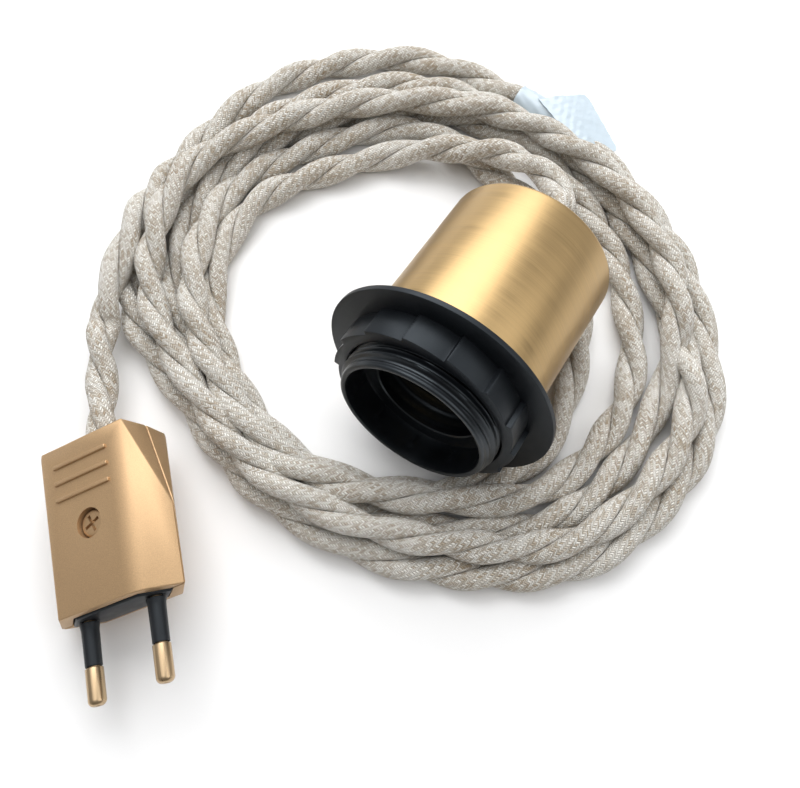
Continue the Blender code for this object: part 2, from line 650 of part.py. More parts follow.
def pin_carrier(material, parent):
    splay = math.atan2((PIN_TIP_SPACING - PIN_BASE_SPACING) / 2, PIN_LENGTH)
    near = CARRIER_FRONT
    carrier = prism("pin_carrier", carrier_outline(0.0), near, CARRIER_BACK - FIT, "Y", material, parent)
    for name, side in (("left", -1), ("right", 1)):
        hole = rod(-PIN_INNER_LENGTH, PIN_LENGTH, PIN_CORE_R + FIT)
        place = (side * PIN_BASE_SPACING / 2, 0.0, 0.0)
        turn = (0, 0, -math.pi / 2 + side * splay)
        cutter = turned("carrier_hole_cutter_" + name, hole, SIDES_SMALL, material, parent, place, turn)
        combine(carrier, cutter, "DIFFERENCE")


def plug_fasteners(steel, parent):
    """The screw and nut that hold the covers together, and the bar and screws that clamp the cord."""
    upright = (0, -math.pi / 2, 0)
    place = (0, PLUG_SCREW_Y, 0)
    seat = PLUG_HALF_THICKNESS - RECESS_DEPTH + FIT
    nut_top = -seat
    screw = [(nut_top - PLUG_NUT_T, 0.0), (nut_top - PLUG_NUT_T, PLUG_SCREW_R), (seat, PLUG_SCREW_R)]
    screw += [(seat, PLUG_SCREW_HEAD_R), (seat + PLUG_SCREW_HEAD_T, PLUG_SCREW_HEAD_R)]
    screw += [(seat + PLUG_SCREW_HEAD_T, 0.0)]
    turned("plug_screw", screw, SIDES_SMALL, steel, parent, place, upright)
    nut = prism("plug_nut", circle(PLUG_NUT_R, 6), nut_top - PLUG_NUT_T, nut_top, "Z", steel, parent, place)
    bore = rod(nut_top - 2 * PLUG_NUT_T, nut_top + PLUG_NUT_T, PLUG_SCREW_R + FIT)
    combine(nut, turned("plug_nut_cutter", bore, SIDES_SMALL, steel, parent, place, upright), "DIFFERENCE")


def cord_clamp(steel, black, parent):
    upright = (0, -math.pi / 2, 0)
    low = CLAMP_BASE_Z + FIT
    high = low + CLAMP_T
    reach = CLAMP_X + CLAMP_POST_R
    corners = [(-reach, CLAMP_Y - CLAMP_WIDTH / 2), (reach, CLAMP_Y - CLAMP_WIDTH / 2)]
    corners += [(reach, CLAMP_Y + CLAMP_WIDTH / 2), (-reach, CLAMP_Y + CLAMP_WIDTH / 2)]
    bar = prism("cord_clamp", corners, low, high, "Z", black, parent)
    for name, x in (("left", -CLAMP_X), ("right", CLAMP_X)):
        place = (x, CLAMP_Y, 0)
        hole = rod(low - CLAMP_T, high + CLAMP_T, SCREW_SHANK_R + FIT)
        cutter = turned("clamp_hole_cutter_" + name, hole, SIDES_SMALL, black, parent, place, upright)
        combine(bar, cutter, "DIFFERENCE")
        head = high + FIT
        screw = [(CLAMP_BASE_Z + FIT, 0.0), (CLAMP_BASE_Z + FIT, SCREW_SHANK_R), (head, SCREW_SHANK_R)]
        screw += [(head, SCREW_HEAD_R), (head + SCREW_HEAD_T, SCREW_HEAD_R), (head + SCREW_HEAD_T, 0.0)]
        turned("clamp_screw_" + name, screw, SIDES_SMALL, steel, parent, place, upright)


def plug_cores(materials, parent):
    """The two cores inside the plug, from the cord's hole under the clamp bar to the pins' terminals."""
    start = PLUG_LENGTH - PLUG_WALL
    half_gap = CORE_R + FIT
    under = CLAMP_BASE_Z - CORE_R - FIT
    end = PIN_INNER_LENGTH + FIT + TERMINAL_LENGTH + FIT
    for name, side, material in (("left", -1, materials[0]), ("right", 1, materials[1])):
        wide = side * PIN_BASE_SPACING / 2
        route = [(side * half_gap, start, under / 2), (side * half_gap * 1.5, CLAMP_Y, under)]
        route += [(wide * 0.85, end + CORE_BEND, under / 2)]
        route += [(wide, end + CORE_STRAIGHT, 0.0), (wide, end, 0.0)]
        tube("plug_core_" + name, smooth_route(route, CORE_STEP), CORE_R, material, parent)


def coil_point(bearing, radius, height):
    return (COIL_X + radius * math.cos(bearing), COIL_Y + radius * math.sin(bearing), height)


def cord_coil(material):
    """The coil's outer shape: a ring whose radii and height change smoothly on the way round."""
    bm = bmesh.new()
    sections = []
    for i in range(COIL_SIDES):
        bearing = 2 * math.pi * i / COIL_SIDES
        inner = at_bearing(COIL_INNER, bearing)
        outer = at_bearing(COIL_OUTER, bearing)
        top = at_bearing(COIL_HEIGHT, bearing)
        cut = COIL_CHAMFER
        section = [(inner, cut), (inner + cut, 0.0), (outer - cut, 0.0), (outer, cut)]
        section += [(outer, top - cut), (outer - cut, top), (inner + cut, top), (inner, top - cut)]
        sections.append([bm.verts.new(coil_point(bearing, r, z)) for r, z in section])
    for i, section in enumerate(sections):
        following = sections[(i + 1) % COIL_SIDES]
        for k in range(len(section)):
            after = (k + 1) % len(section)
            bm.faces.new((section[k], section[after], following[after], following[k]))
    solid("cord_coil", bm, material)


def cord_leads(material, holder_frame, plug_frame):
    """The two free stretches of the cord: from the plug to the coil, and from the coil to the holder."""
    bpy.context.view_layer.update()
    plug_exit = plug_frame.matrix_world @ Vector((0, PLUG_LENGTH + FIT, 0))
    beyond_plug = plug_frame.matrix_world @ Vector((0, PLUG_LENGTH + CORD_D, 0))
    plug_route = [plug_exit, beyond_plug, *PLUG_LEAD_BEND, *PLUG_LEAD_END]
    tube("cord_lead_plug", smooth_route(plug_route, TUBE_STEP), CORD_D / 2, material)
    holder_exit = holder_frame.matrix_world @ Vector((GRIP_BACK - FIT, 0, 0))
    beyond_holder = holder_frame.matrix_world @ Vector((GRIP_BACK - CORD_D, 0, 0))
    holder_route = [*HOLDER_LEAD_START, *HOLDER_LEAD_BEND, beyond_holder, holder_exit]
    tube("cord_lead_holder", smooth_route(holder_route, TUBE_STEP), CORD_D / 2, material)


def label_tag(material):
    """Thin folded label, its flag standing out from the outermost turn."""
    steps = 6
    near = []
    far = []
    for i in range(steps + 1):
        share = i / steps
        bearing = LABEL_BEARING_FROM + share * (LABEL_BEARING_TO - LABEL_BEARING_FROM)
        edge = at_bearing(COIL_OUTER, bearing) + FIT
        near.append(coil_point(bearing, edge, 0.0)[:2])
        outer_bearing = bearing - LABEL_TAPER * (1 - share)
        outer_edge = at_bearing(COIL_OUTER, outer_bearing) + FIT + LABEL_WIDTH
        far.append(coil_point(outer_bearing, outer_edge, 0.0)[:2])
    prism("label_tag", near + far[::-1], LABEL_Z, LABEL_Z + LABEL_T, "Z", material)


def build():
    clear_scene()
    brass = plain_material("warm_brass", (0.62, 0.43, 0.20), 1.0, 0.34)
    black = plain_material("blue_black_plastic", (0.035, 0.04, 0.055), 0.0, 0.45)
    copper = plain_material("copper_gold_paint", (0.55, 0.36, 0.22), 0.8, 0.42)
    steel = plain_material("zinc_steel", (0.6, 0.6, 0.58), 1.0, 0.35)
    braid = plain_material("braided_textile", (0.55, 0.48, 0.38), 0.0, 0.9)
    ceramic = plain_material("glazed_insert", (0.75, 0.73, 0.68), 0.0, 0.3)
    blue_core = plain_material("blue_core", (0.05, 0.16, 0.45), 0.0, 0.5)
    brown_core = plain_material("brown_core", (0.20, 0.09, 0.04), 0.0, 0.5)
    paper = plain_material("clear_label", (0.85, 0.88, 0.92), 0.0, 0.3)

    holder_frame = empty("holder_frame", (HOLDER_X, 0, HOLDER_Z), (0, -TILT, 0))
    brass_cup(brass, holder_frame)
    shade_ring(black, holder_frame)
    holder_skirt(black, holder_frame)
    holder_cap(black, holder_frame)
    contact_insert(ceramic, holder_frame)
    contacts(brass, holder_frame)
    terminal_x = INSERT_BACK - FIT - TERMINAL_LENGTH
    for name, y in (("terminal_left", -TERMINAL_Y), ("terminal_right", TERMINAL_Y)):
        terminal(name, terminal_x, y, 0.0, "X", holder_frame, brass, steel)
    nipple_and_nuts(steel, holder_frame)
    cord_grip(brass, steel, holder_frame)
    holder_cores((blue_core, brown_core), holder_frame)

    plug_frame = empty("plug_frame", (PLUG_X, PLUG_Y, 0), (PLUG_PITCH, PLUG_ROLL, PLUG_TURN), "YXZ")
    front = plug_cover("plug_front_cover", 1, copper, plug_frame)
    plug_grip_bars(front, copper, plug_frame)
    back = plug_cover("plug_back_cover", -1, copper, plug_frame)
    pin_carrier(black, plug_frame)
    plug_pins(brass, black, plug_frame)
    plug_fasteners(steel, plug_frame)
    cord_clamp(steel, black, plug_frame)
    for name, side in (("plug_terminal_left", -1), ("plug_terminal_right", 1)):
        place = (side * PIN_BASE_SPACING / 2, PIN_INNER_LENGTH + FIT, 0.0)
        terminal(name, *place, "Y", plug_frame, brass, steel)
    plug_cores((blue_core, brown_core), plug_frame)

    # The plug lies on the floor on the lowest corner of its back cover.
    bpy.context.view_layer.update()
    lowest = min((back.matrix_world @ vertex.co).z for vertex in back.data.vertices)
    plug_frame.location.z -= lowest

    cord_coil(braid)
    cord_leads(braid, holder_frame, plug_frame)
    label_tag(paper)


build()
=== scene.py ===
"""Looks of a plug-in pendant light: a brushed brass cup with a black threaded holder and shade ring,
a long twisted two-strand textile cord lying in a coil, and a copper-gold two-pin plug.

Laid out as an add-on and run as a script. Metres, +Z up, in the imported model's frame.
"""

import json
import math
from functools import partial

import bmesh
import bpy
import numpy as np
from mathutils import Euler, Matrix, Vector


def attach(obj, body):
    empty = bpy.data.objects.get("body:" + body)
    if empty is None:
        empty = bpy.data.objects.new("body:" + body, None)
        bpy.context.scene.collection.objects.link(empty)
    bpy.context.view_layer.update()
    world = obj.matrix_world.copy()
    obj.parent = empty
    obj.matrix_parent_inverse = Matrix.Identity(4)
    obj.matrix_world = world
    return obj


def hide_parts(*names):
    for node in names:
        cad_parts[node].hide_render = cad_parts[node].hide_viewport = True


bl_info = {
    "name": "Plug-in pendant light",
    "version": (1, 0, 0),
    "blender": (4, 5, 0),
    "location": "3D View > Sidebar > Pendant",
    "description": "Dresses the packed pendant light with its cord, brass, plastic and plug",
    "category": "Object",
}

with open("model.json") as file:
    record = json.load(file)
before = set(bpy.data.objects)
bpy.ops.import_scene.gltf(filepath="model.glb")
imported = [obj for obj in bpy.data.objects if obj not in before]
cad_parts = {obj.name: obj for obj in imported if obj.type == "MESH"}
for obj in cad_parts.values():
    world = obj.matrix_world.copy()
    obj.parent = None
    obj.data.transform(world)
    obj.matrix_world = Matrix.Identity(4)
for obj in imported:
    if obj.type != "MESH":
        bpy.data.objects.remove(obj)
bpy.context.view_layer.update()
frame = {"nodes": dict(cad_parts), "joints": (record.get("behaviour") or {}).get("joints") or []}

# The holder's own frame: its origin is the middle of the flange's front face, +X the mouth's way
ring_joint = frame["joints"][0]
holder_tilt = math.asin(ring_joint["axis"][2])
holder_frame = Matrix.Translation(ring_joint["pos_m"]) @ Matrix.Rotation(-holder_tilt, 4, "Y")

# The plug's own frame: +Y runs from its pin face to the cord, +Z to its front cover
PLUG_PLACE = (0.0997, -0.0348, 0.013763)
PLUG_TURN = math.radians(136.3)
PLUG_PITCH = math.radians(-2.7)
PLUG_ROLL = math.radians(-24.3)
plug_turn = Euler((PLUG_PITCH, PLUG_ROLL, PLUG_TURN), "YXZ").to_matrix().to_4x4()
plug_frame = Matrix.Translation(PLUG_PLACE) @ plug_turn

# Clearance kept between pieces that fit in or lie against each other
FIT = 0.0003

# Holder stations and radii that its construction shares
CUP_HOLE_R = 0.00515
SKIRT_WALL = 0.0014
LIP_FRONT = 0.004
LIP_BACK = 0.0024
SOCKET_BACK = -0.012

# The skirt's raised threads and ribs: where they start and end, how high they stand, and how many
# stations of the turned outline carry one turn of a thread
THREAD_START = 0.0006
THREAD_LENGTH = 0.016
THREAD_BACK = -0.004
THREAD_STATIONS = 12
THREAD_SHARPNESS = 2.2
SOCKET_STATIONS = 9
SOCKET_RISE = 0.0006
INNER_RIBS = 10
RIB_RISE = 0.0004
RIB_FROM = 0.001
RIB_TO = 0.0045
SAME_RADIUS = 1e-5

# Plug sizes that its construction shares
PLUG_LENGTH = 0.0402
PLUG_WIDE = 0.0177
PLUG_STRAIGHT = 0.0194
PLUG_TAIL_WIDE = 0.0131
PLUG_FLAT = 0.0114
PLUG_TAIL_FLAT = 0.0124
PLUG_HALF_T = 0.0073
PLUG_TAIL_HALF_T = 0.0078
PLUG_WALL = 0.0018
PLUG_SCREW_Y = 0.019
RECESS_DEPTH = 0.0028
RECESS_R = 0.0035
CARRIER_WIDE = 0.0143
CARRIER_FLAT = 0.0088
CARRIER_HIGH = 0.0049
CARRIER_LIP = 0.0008
CARRIER_BACK = 0.008
PIN_BASE_GAP = 0.0192
PIN_TIP_GAP = 0.0188
PIN_LENGTH = 0.019
PIN_CORE_R = 0.0013
PIN_R = 0.002
PIN_ROUND = 0.0013
SLEEVE_END = 0.0105
BAR_COUNT = 3
BAR_PITCH = 0.0041
BAR_LAST_Y = 0.0352
BAR_HALF = 0.0079
BAR_SHIFT = -0.0007

# The covers' screw and its post, the hole in a pin's end, and a sleeve's wider foot
POST_R = 0.0048
SCREW_BORE_R = 0.0018
SCREW_R = 0.0015
SCREW_HEAD_R = 0.0032
SCREW_HEAD_HIGH = 0.0018
SCREW_TAIL = 0.0021
SCREW_TURN = 0.4
CROSS_ARM = (0.0018, 0.0042, 0.0008)
PIN_ROOT = -0.012
PIN_HOLE_R = 0.0005
PIN_HOLE_DEPTH = 0.0009
SLEEVE_FLARE = 0.0003
ALONG_Y = (math.pi / 2, 0, 0)

# The label: the two places along the cord from the plug that its wrap lies between, the wrap's
# radius and angles round the cord, and its flag's corners, their rounding and its unevenness
LABEL_FROM = 0.212
LABEL_TO = 0.228
LABEL_R = 0.0043
WRAP_FROM_DEG = -30
WRAP_SWEEP_DEG = 185
FLAG_INNER = ((-0.0797, -0.0250, 0.0090), (-0.0689, -0.0028, 0.0086))
FLAG_OUTER = ((-0.0910, -0.0141, 0.0064), (-0.0776, 0.0031, 0.0064))
FLAG_CORNER_OUT = 0.11
FLAG_CORNER_ALONG = 0.085
FLAG_DROOP = 0.0004
FLAG_CRINKLE = 0.00018
WRAP_CRINKLE = 0.00022

# Loose hairs: their thickness, shortest length, how much longer they get, and the height their ends
# keep above the floor. None grows near the cord's ends.
FIBRE_R = 0.00004
FIBRE_SHORT = 0.0008
FIBRE_MORE = 0.0016
FIBRE_CLEAR = 0.0006
BARE_RINGS = 10

# Camera, at the photograph's angle
CAMERA_PLACE = (0.0838, 0.0288, 0.1984)
CAMERA_TARGET = (0.0186, -0.0119, 0.0)
LENS = 36.0
SENSOR = 36.0

# The cord's route where it isn't coiled. These points repeat the construction's own.
CORD_D = 0.0082
PLUG_EXIT = tuple(plug_frame @ Vector((0, 0.0405, 0)))
PLUG_BEYOND = tuple(plug_frame @ Vector((0, 0.0484, 0)))
HOLDER_EXIT = tuple(holder_frame @ Vector((-0.0583, 0, 0)))
HOLDER_BEYOND = tuple(holder_frame @ Vector((-0.0662, 0, 0)))
COIL_X = -0.0082
COIL_Y = -0.0239

# The coil, turn by turn from the plug: the radius in millimetres of the cord's middle at twelve even
# bearings, going round clockwise as seen from above, and whether it lies on the floor (0) or over
# its neighbours (1).
COIL_START = math.radians(302)
STATIONS = 12
TURN_RADII = (
    (80.6, 79.6, 82.4, 80.5, 71.8, 70.0, 75.6, 84.7, 84.9, 75.2, 69.0, 67.4),
    (78.1, 74.1, 71.9, 70.5, 65.6, 62.8, 66.6, 78.7, 79.3, 69.5, 65.5, 64.2),
    (71.0, 72.1, 62.0, 58.8, 60.1, 63.8, 68.4, 71.2, 72.4, 65.5, 62.8, 61.0),
    (66.6, 67.6, 63.4, 61.0, 59.0, 55.6, 57.1, 63.2, 65.0, 60.0, 59.7, 57.8),
    (59.6, 61.1, 55.4, 54.0, 44.9, 43.0, 43.6, 48.2, 56.9, 57.0, 56.6, 54.6),
    (55.6, 53.6, 45.9, 44.5, 46.0),
)
TURN_LAYERS = (
    (1, 0, 0, 0, 0, 0, 0, 0, 0, 0, 0, 0),
    (0, 0, 0, 0, 0, 0, 0, 1, 1, 1, 1, 1),
    (1, 1, 1, 1, 1, 1, 1, 0, 0, 0, 0, 0),
    (0, 0, 0, 0, 0, 0, 0, 0, 1, 1, 1, 1),
    (1, 0, 0, 0, 0, 0, 0, 0, 0, 0, 0, 0),
    (0, 0, 0, 0, 1),
)


def size_setting(name, description, default):
    return bpy.props.FloatProperty(
        name=name, description=description, default=default, unit="LENGTH"
    )


def count_setting(name, description, default):
    return bpy.props.IntProperty(name=name, description=description, default=default)


def colour_setting(name, description, default):
    return bpy.props.FloatVectorProperty(
        name=name, description=description, size=3, subtype="COLOR", default=default
    )


class PENDANT_PG_cord(bpy.types.PropertyGroup):
    """Sizes and colours of the twisted textile cord and its label"""

    diameter: size_setting("Diameter", "Across both strands", CORD_D)
    strand: size_setting("Strand", "Diameter of one strand", 0.0053)
    pitch: size_setting("Pitch", "Length of one full twist", 0.036)
    ring_step: size_setting("Ring step", "Distance between a strand's rings", 0.0015)
    ring_sides: count_setting("Sides", "Sides of a strand", 20)
    film: size_setting("Film", "Thickness of the label's film", 0.0002)
    film_colour: colour_setting("Film colour", "Colour of the label", (0.60, 0.70, 0.775))
    fibres: count_setting("Fibres", "Loose hairs on the cord", 700)
    columns: count_setting("Columns", "Braid columns round a strand", 20)
    stitch: size_setting("Stitch", "Length of one stitch of the braid", 0.00058)
    pale: colour_setting("Pale yarn", "Colour of the pale yarn", (0.95, 0.93, 0.87))
    tan: colour_setting("Tan yarn", "Colour of the tan yarn", (0.44, 0.345, 0.235))


class PENDANT_PG_holder(bpy.types.PropertyGroup):
    """Sizes and colours of the lamp holder that its construction solids only simplify"""

    sides: count_setting("Sides", "Sides of the turned pieces", 160)
    cup_wall: size_setting("Cup wall", "Thickness of the brass", 0.0008)
    cup_edge: size_setting("Cup edge", "Radius of the cup's back edge", 0.001)
    collar_radius: size_setting("Collar", "Outer radius of the grip collar", 0.0236)
    collar_step: size_setting("Collar step", "Height of each grip step", 0.0012)
    collar_steps: count_setting("Steps", "Grip steps round the collar", 14)
    collar_turn: bpy.props.FloatProperty(
        name="First step",
        description="Angle of the first grip step",
        default=math.radians(6.4),
        subtype="ANGLE",
    )
    thread_root: size_setting("Thread root", "Radius at the skirt's thread root", 0.0186)
    thread_rise: size_setting("Thread height", "Height of the skirt's thread", 0.0011)
    thread_pitch: size_setting("Thread pitch", "Advance of the skirt's thread in a turn", 0.0018)
    socket_radius: size_setting("Socket", "Radius of the lamp socket", 0.0139)
    socket_pitch: size_setting("Socket pitch", "Advance of the socket's thread in a turn", 0.0036)
    brass: colour_setting("Brass", "Colour of the brushed brass", (0.50, 0.345, 0.165))
    black: colour_setting("Black", "Colour of the moulded plastic", (0.005, 0.006, 0.0078))


class PENDANT_PG_plug(bpy.types.PropertyGroup):
    """Sizes and colours of the plug"""

    soft_edge: size_setting("Soft edge", "Width of the eased edge beside the front face", 0.0042)
    fine_edge: size_setting("Fine edge", "Width of the small eased edges", 0.0004)
    bar_height: size_setting("Bar height", "Height of the grip bars", 0.0006)
    bar_width: size_setting("Bar width", "Width of the grip bars", 0.001)
    paint: colour_setting("Paint", "Colour of the metallic paint", (0.53, 0.35, 0.19))


def leave_edit():
    if bpy.context.object and bpy.context.object.mode != "OBJECT":
        bpy.ops.object.mode_set(mode="OBJECT")


def only(obj):
    """Selects one object and makes it the active one."""
    leave_edit()
    bpy.ops.object.select_all(action="DESELECT")
    obj.select_set(True)
    bpy.context.view_layer.objects.active = obj


def edit_all(obj):
    only(obj)
    bpy.ops.object.mode_set(mode="EDIT")
    bpy.ops.mesh.select_all(action="SELECT")


def named(name):
    obj = bpy.context.object
    obj.name = name
    obj.data.name = name
    return obj


def drawn_line(name, points):
    """A closed line in the XZ plane, drawn by pushing one vertex out again and again."""
    leave_edit()
    bpy.ops.object.select_all(action="DESELECT")
    bpy.ops.mesh.primitive_plane_add(size=0.001)
    obj = named(name)
    bpy.ops.object.mode_set(mode="EDIT")
    bpy.ops.mesh.merge(type="CENTER")
    bpy.ops.transform.translate(value=points[0])
    for before, after in zip(points, points[1:]):
        step = Vector(after) - Vector(before)
        bpy.ops.mesh.extrude_vertices_move(TRANSFORM_OT_translate={"value": step})
    work = bmesh.from_edit_mesh(obj.data)
    work.verts.ensure_lookup_table()
    first = min(work.verts, key=lambda v: (v.co - Vector(points[0])).length)
    first.select = True
    bmesh.update_edit_mesh(obj.data)
    bpy.ops.mesh.edge_face_add()
    return obj


def eased(corners, steps=4):
    """A closed outline from (station, radius, ease) corners, each rounded off over its ease."""
    outline = []
    count = len(corners)
    for i, (x, r, ease) in enumerate(corners):
        here = Vector((x, r))
        before = Vector(corners[i - 1][:2]) - here
        after = Vector(corners[(i + 1) % count][:2]) - here
        reach = min(ease, before.length * 0.45, after.length * 0.45)
        if reach <= 0.0:
            outline.append((x, r))
            continue
        start = here + before.normalized() * reach
        end = here + after.normalized() * reach
        for k in range(steps + 1):
            t = k / steps
            point = start * (1 - t) ** 2 + here * 2 * t * (1 - t) + end * t**2
            outline.append((point.x, point.y))
    return outline


def close_up(obj):
    """Merges a spun shape's doubles and turns its faces outwards."""
    edit_all(obj)
    bpy.ops.mesh.remove_doubles(threshold=1e-6)
    bpy.ops.mesh.normals_make_consistent(inside=False)
    bpy.ops.object.mode_set(mode="OBJECT")
    return obj


def turned(name, outline, sides):
    """An outline of (station, radius) points spun about the X axis."""
    obj = drawn_line(name, [(x, 0.0, r) for x, r in outline])
    bpy.ops.mesh.select_all(action="SELECT")
    bpy.ops.mesh.spin(steps=sides, angle=2 * math.pi, center=(0, 0, 0), axis=(1, 0, 0))
    return close_up(obj)


def pushed_out(name, points, shift):
    """A flat outline, drawn and pushed out into a solid."""
    obj = drawn_line(name, points)
    bpy.ops.mesh.select_all(action="SELECT")
    bpy.ops.mesh.edge_face_add()
    bpy.ops.mesh.extrude_region_move(TRANSFORM_OT_translate={"value": shift})
    return close_up(obj)


def settled_mesh(name, scale=(1, 1, 1)):
    """Names the shape just added and puts its size, turn and place into its mesh."""
    obj = named(name)
    obj.scale = scale
    bpy.ops.object.transform_apply(location=True, rotation=True, scale=True)
    return obj


def rod(name, radius, length, place, turn=(0, 0, 0), sides=40):
    """A plain round tool, standing along Z before its turn."""
    bpy.ops.object.select_all(action="DESELECT")
    bpy.ops.mesh.primitive_cylinder_add(
        vertices=sides, radius=radius, depth=length, location=place, rotation=turn
    )
    return settled_mesh(name)


def box_at(name, size, place, turn=(0, 0, 0)):
    bpy.ops.object.select_all(action="DESELECT")
    bpy.ops.mesh.primitive_cube_add(size=1.0, location=place, rotation=turn)
    return settled_mesh(name, size)


def finish_piece(obj, matrix, material, body, slot, *nodes, smooth_angle=32):
    """Shades a piece, brings it from its own frame to its place and hangs it on its body."""
    only(obj)
    bpy.ops.object.shade_smooth_by_angle(angle=math.radians(smooth_angle))
    obj.matrix_world = matrix
    bpy.ops.object.transform_apply(location=True, rotation=True, scale=True)
    obj.data.materials.clear()
    obj.data.materials.append(material)
    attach(obj, body)
    if nodes:
        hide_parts(*nodes)
    return obj


def apply_modifier(obj, kind, **settings):
    only(obj)
    modifier = obj.modifiers.new(kind.lower(), kind)
    for key, value in settings.items():
        setattr(modifier, key, value)
    bpy.ops.object.modifier_apply(modifier=modifier.name)


def ease_edges(obj, width, segments, angle):
    """Bevels the edges that are sharper than an angle in degrees."""
    limit = math.radians(angle)
    apply_modifier(
        obj, "BEVEL", width=width, segments=segments, limit_method="ANGLE", angle_limit=limit
    )


def combine(obj, tool, operation):
    """Joins or cuts a piece with a tool, which is used up."""
    apply_modifier(obj, "BOOLEAN", operation=operation, object=tool, solver="EXACT")
    bpy.data.objects.remove(tool, do_unlink=True)


def local_reach(node, matrix):
    """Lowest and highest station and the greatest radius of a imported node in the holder's frame."""
    back = matrix.inverted()
    points = [back @ v.co for v in frame["nodes"][node].data.vertices]
    xs = [p.x for p in points]
    return min(xs), max(xs), max(math.hypot(p.y, p.z) for p in points)


# Where a piece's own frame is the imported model's
WORLD = Matrix.Identity(4)


def new_look(name):
    material = bpy.data.materials.new(name)
    material.use_nodes = True
    return material, material.node_tree, material.node_tree.nodes["Principled BSDF"]


def node(tree, kind, **settings):
    """A new shader node with its settings."""
    made = tree.nodes.new(kind)
    for key, value in settings.items():
        setattr(made, key, value)
    return made


def feed(tree, made, inputs):
    """Gives a node's inputs, by name or number, their values or other nodes' outputs."""
    for key, value in inputs.items():
        socket = made.inputs[key]
        if isinstance(value, bpy.types.NodeSocket):
            tree.links.new(value, socket)
        elif isinstance(value, tuple) and socket.type == "RGBA":
            socket.default_value = (*value, 1.0)
        else:
            socket.default_value = value
    return made


def math_node(tree, operation, first, second=None):
    """A Math node on one or two values, each a number or another node's output."""
    made = node(tree, "ShaderNodeMath", operation=operation)
    inputs = {0: first} if second is None else {0: first, 1: second}
    return feed(tree, made, inputs).outputs[0]


def clamped(tree, value):
    return feed(tree, node(tree, "ShaderNodeClamp"), {0: value}).outputs[0]


def mix_colour(tree, share, first, second):
    made = node(tree, "ShaderNodeMix", data_type="RGBA")
    return feed(tree, made, {0: share, 6: first, 7: second}).outputs[2]


def object_place(tree, matrix=WORLD, scale=(1, 1, 1)):
    """Object coordinates in a piece's own frame, stretched by a scale along each of its axes."""
    inputs = {
        "Vector": node(tree, "ShaderNodeTexCoord").outputs["Object"],
        "Location": matrix.to_translation(),
        "Rotation": matrix.to_euler(),
        "Scale": scale,
    }
    return feed(tree, node(tree, "ShaderNodeMapping", vector_type="TEXTURE"), inputs).outputs[0]


def noise(tree, place, scale, detail=3.0, roughness=0.55):
    inputs = {"Vector": place, "Scale": scale, "Detail": detail, "Roughness": roughness}
    return feed(tree, node(tree, "ShaderNodeTexNoise"), inputs).outputs["Fac"]


def ranged(tree, value, low, high):
    """The middle range of a noise, stretched to run from low to high."""
    inputs = {"Value": value, "From Min": 0.3, "From Max": 0.7, "To Min": low, "To Max": high}
    return feed(tree, node(tree, "ShaderNodeMapRange"), inputs).outputs[0]


def bumped(tree, height, strength, distance):
    """The normal of a surface with small bumps."""
    inputs = {"Height": height, "Strength": strength, "Distance": distance}
    return feed(tree, node(tree, "ShaderNodeBump"), inputs).outputs[0]


def shade(colour, share):
    """A colour made darker or lighter."""
    return tuple(share * c for c in colour)


def mottled(tree, pattern, colour, dark, light):
    """A colour that goes from a dark to a light shade of itself over a pattern."""
    share = ranged(tree, pattern, 0.0, 1.0)
    return mix_colour(tree, share, shade(colour, dark), shade(colour, light))


def brushed_metal(name, colour, matrix, roughness):
    """Metal brushed round its axis: fine lines along the circumference, satin shine."""
    material, tree, shader = new_look(name)
    lines = noise(tree, object_place(tree, matrix, (0.00022, 0.03, 0.03)), 1.0, 2.0, 0.5)
    broad = noise(tree, object_place(tree, matrix, (0.006, 0.02, 0.02)), 1.0, 2.0)
    tone = mottled(tree, lines, colour, 0.84, 1.0)
    inputs = {
        "Base Color": mix_colour(tree, ranged(tree, broad, 0.0, 0.18), tone, shade(colour, 0.9)),
        "Roughness": ranged(tree, lines, roughness * 0.85, roughness * 1.25),
        "Metallic": 1.0,
        "Normal": bumped(tree, lines, 0.1, 0.00001),
    }
    feed(tree, shader, inputs)
    return material


def moulded_plastic(name, colour, roughness=0.42, grain=0.00012, specular=0.34):
    """Moulded plastic: an even dark colour with a fine sparked grain and slightly rubbed shine."""
    material, tree, shader = new_look(name)
    place = object_place(tree)
    fine = noise(tree, place, 1 / (3 * grain), 2.0)
    broad = noise(tree, place, 160.0)
    inputs = {
        "Base Color": mottled(tree, broad, colour, 0.85, 1.2),
        "Roughness": ranged(tree, broad, roughness - 0.05, roughness + 0.07),
        "Specular IOR Level": specular,
        "Specular Tint": (0.80, 0.91, 1.0),
        "Normal": bumped(tree, fine, 0.25, grain / 4),
    }
    feed(tree, shader, inputs)
    return material


def metallic_paint(name, colour):
    """Satin metallic paint over plastic: fine flakes and a faint orange peel."""
    material, tree, shader = new_look(name)
    place = object_place(tree)
    flakes = noise(tree, place, 5200.0, 2.0, 0.7)
    peel = noise(tree, place, 900.0, 2.0)
    broad = noise(tree, place, 90.0, 2.0)
    tone = mottled(tree, flakes, colour, 0.82, 1.12)
    inputs = {
        "Base Color": mix_colour(tree, ranged(tree, broad, 0.0, 0.15), tone, shade(colour, 0.85)),
        "Roughness": ranged(tree, flakes, 0.4, 0.5),
        "Metallic": 0.62,
        "Normal": bumped(tree, peel, 0.12, 0.00008),
    }
    feed(tree, shader, inputs)
    return material


def clear_film(name, colour):
    """Thin crinkled plastic film, milky and a little blue."""
    material, tree, shader = new_look(name)
    place = object_place(tree)
    folds = noise(tree, place, 700.0, 2.0)
    cloud = noise(tree, place, 180.0)
    inputs = {
        "Base Color": mottled(tree, cloud, colour, 0.93, 1.0),
        "Roughness": ranged(tree, cloud, 0.14, 0.26),
        "Alpha": 0.8,
        "Coat Weight": 0.4,
        "Normal": bumped(tree, folds, 0.3, 0.00012),
    }
    feed(tree, shader, inputs)
    return material


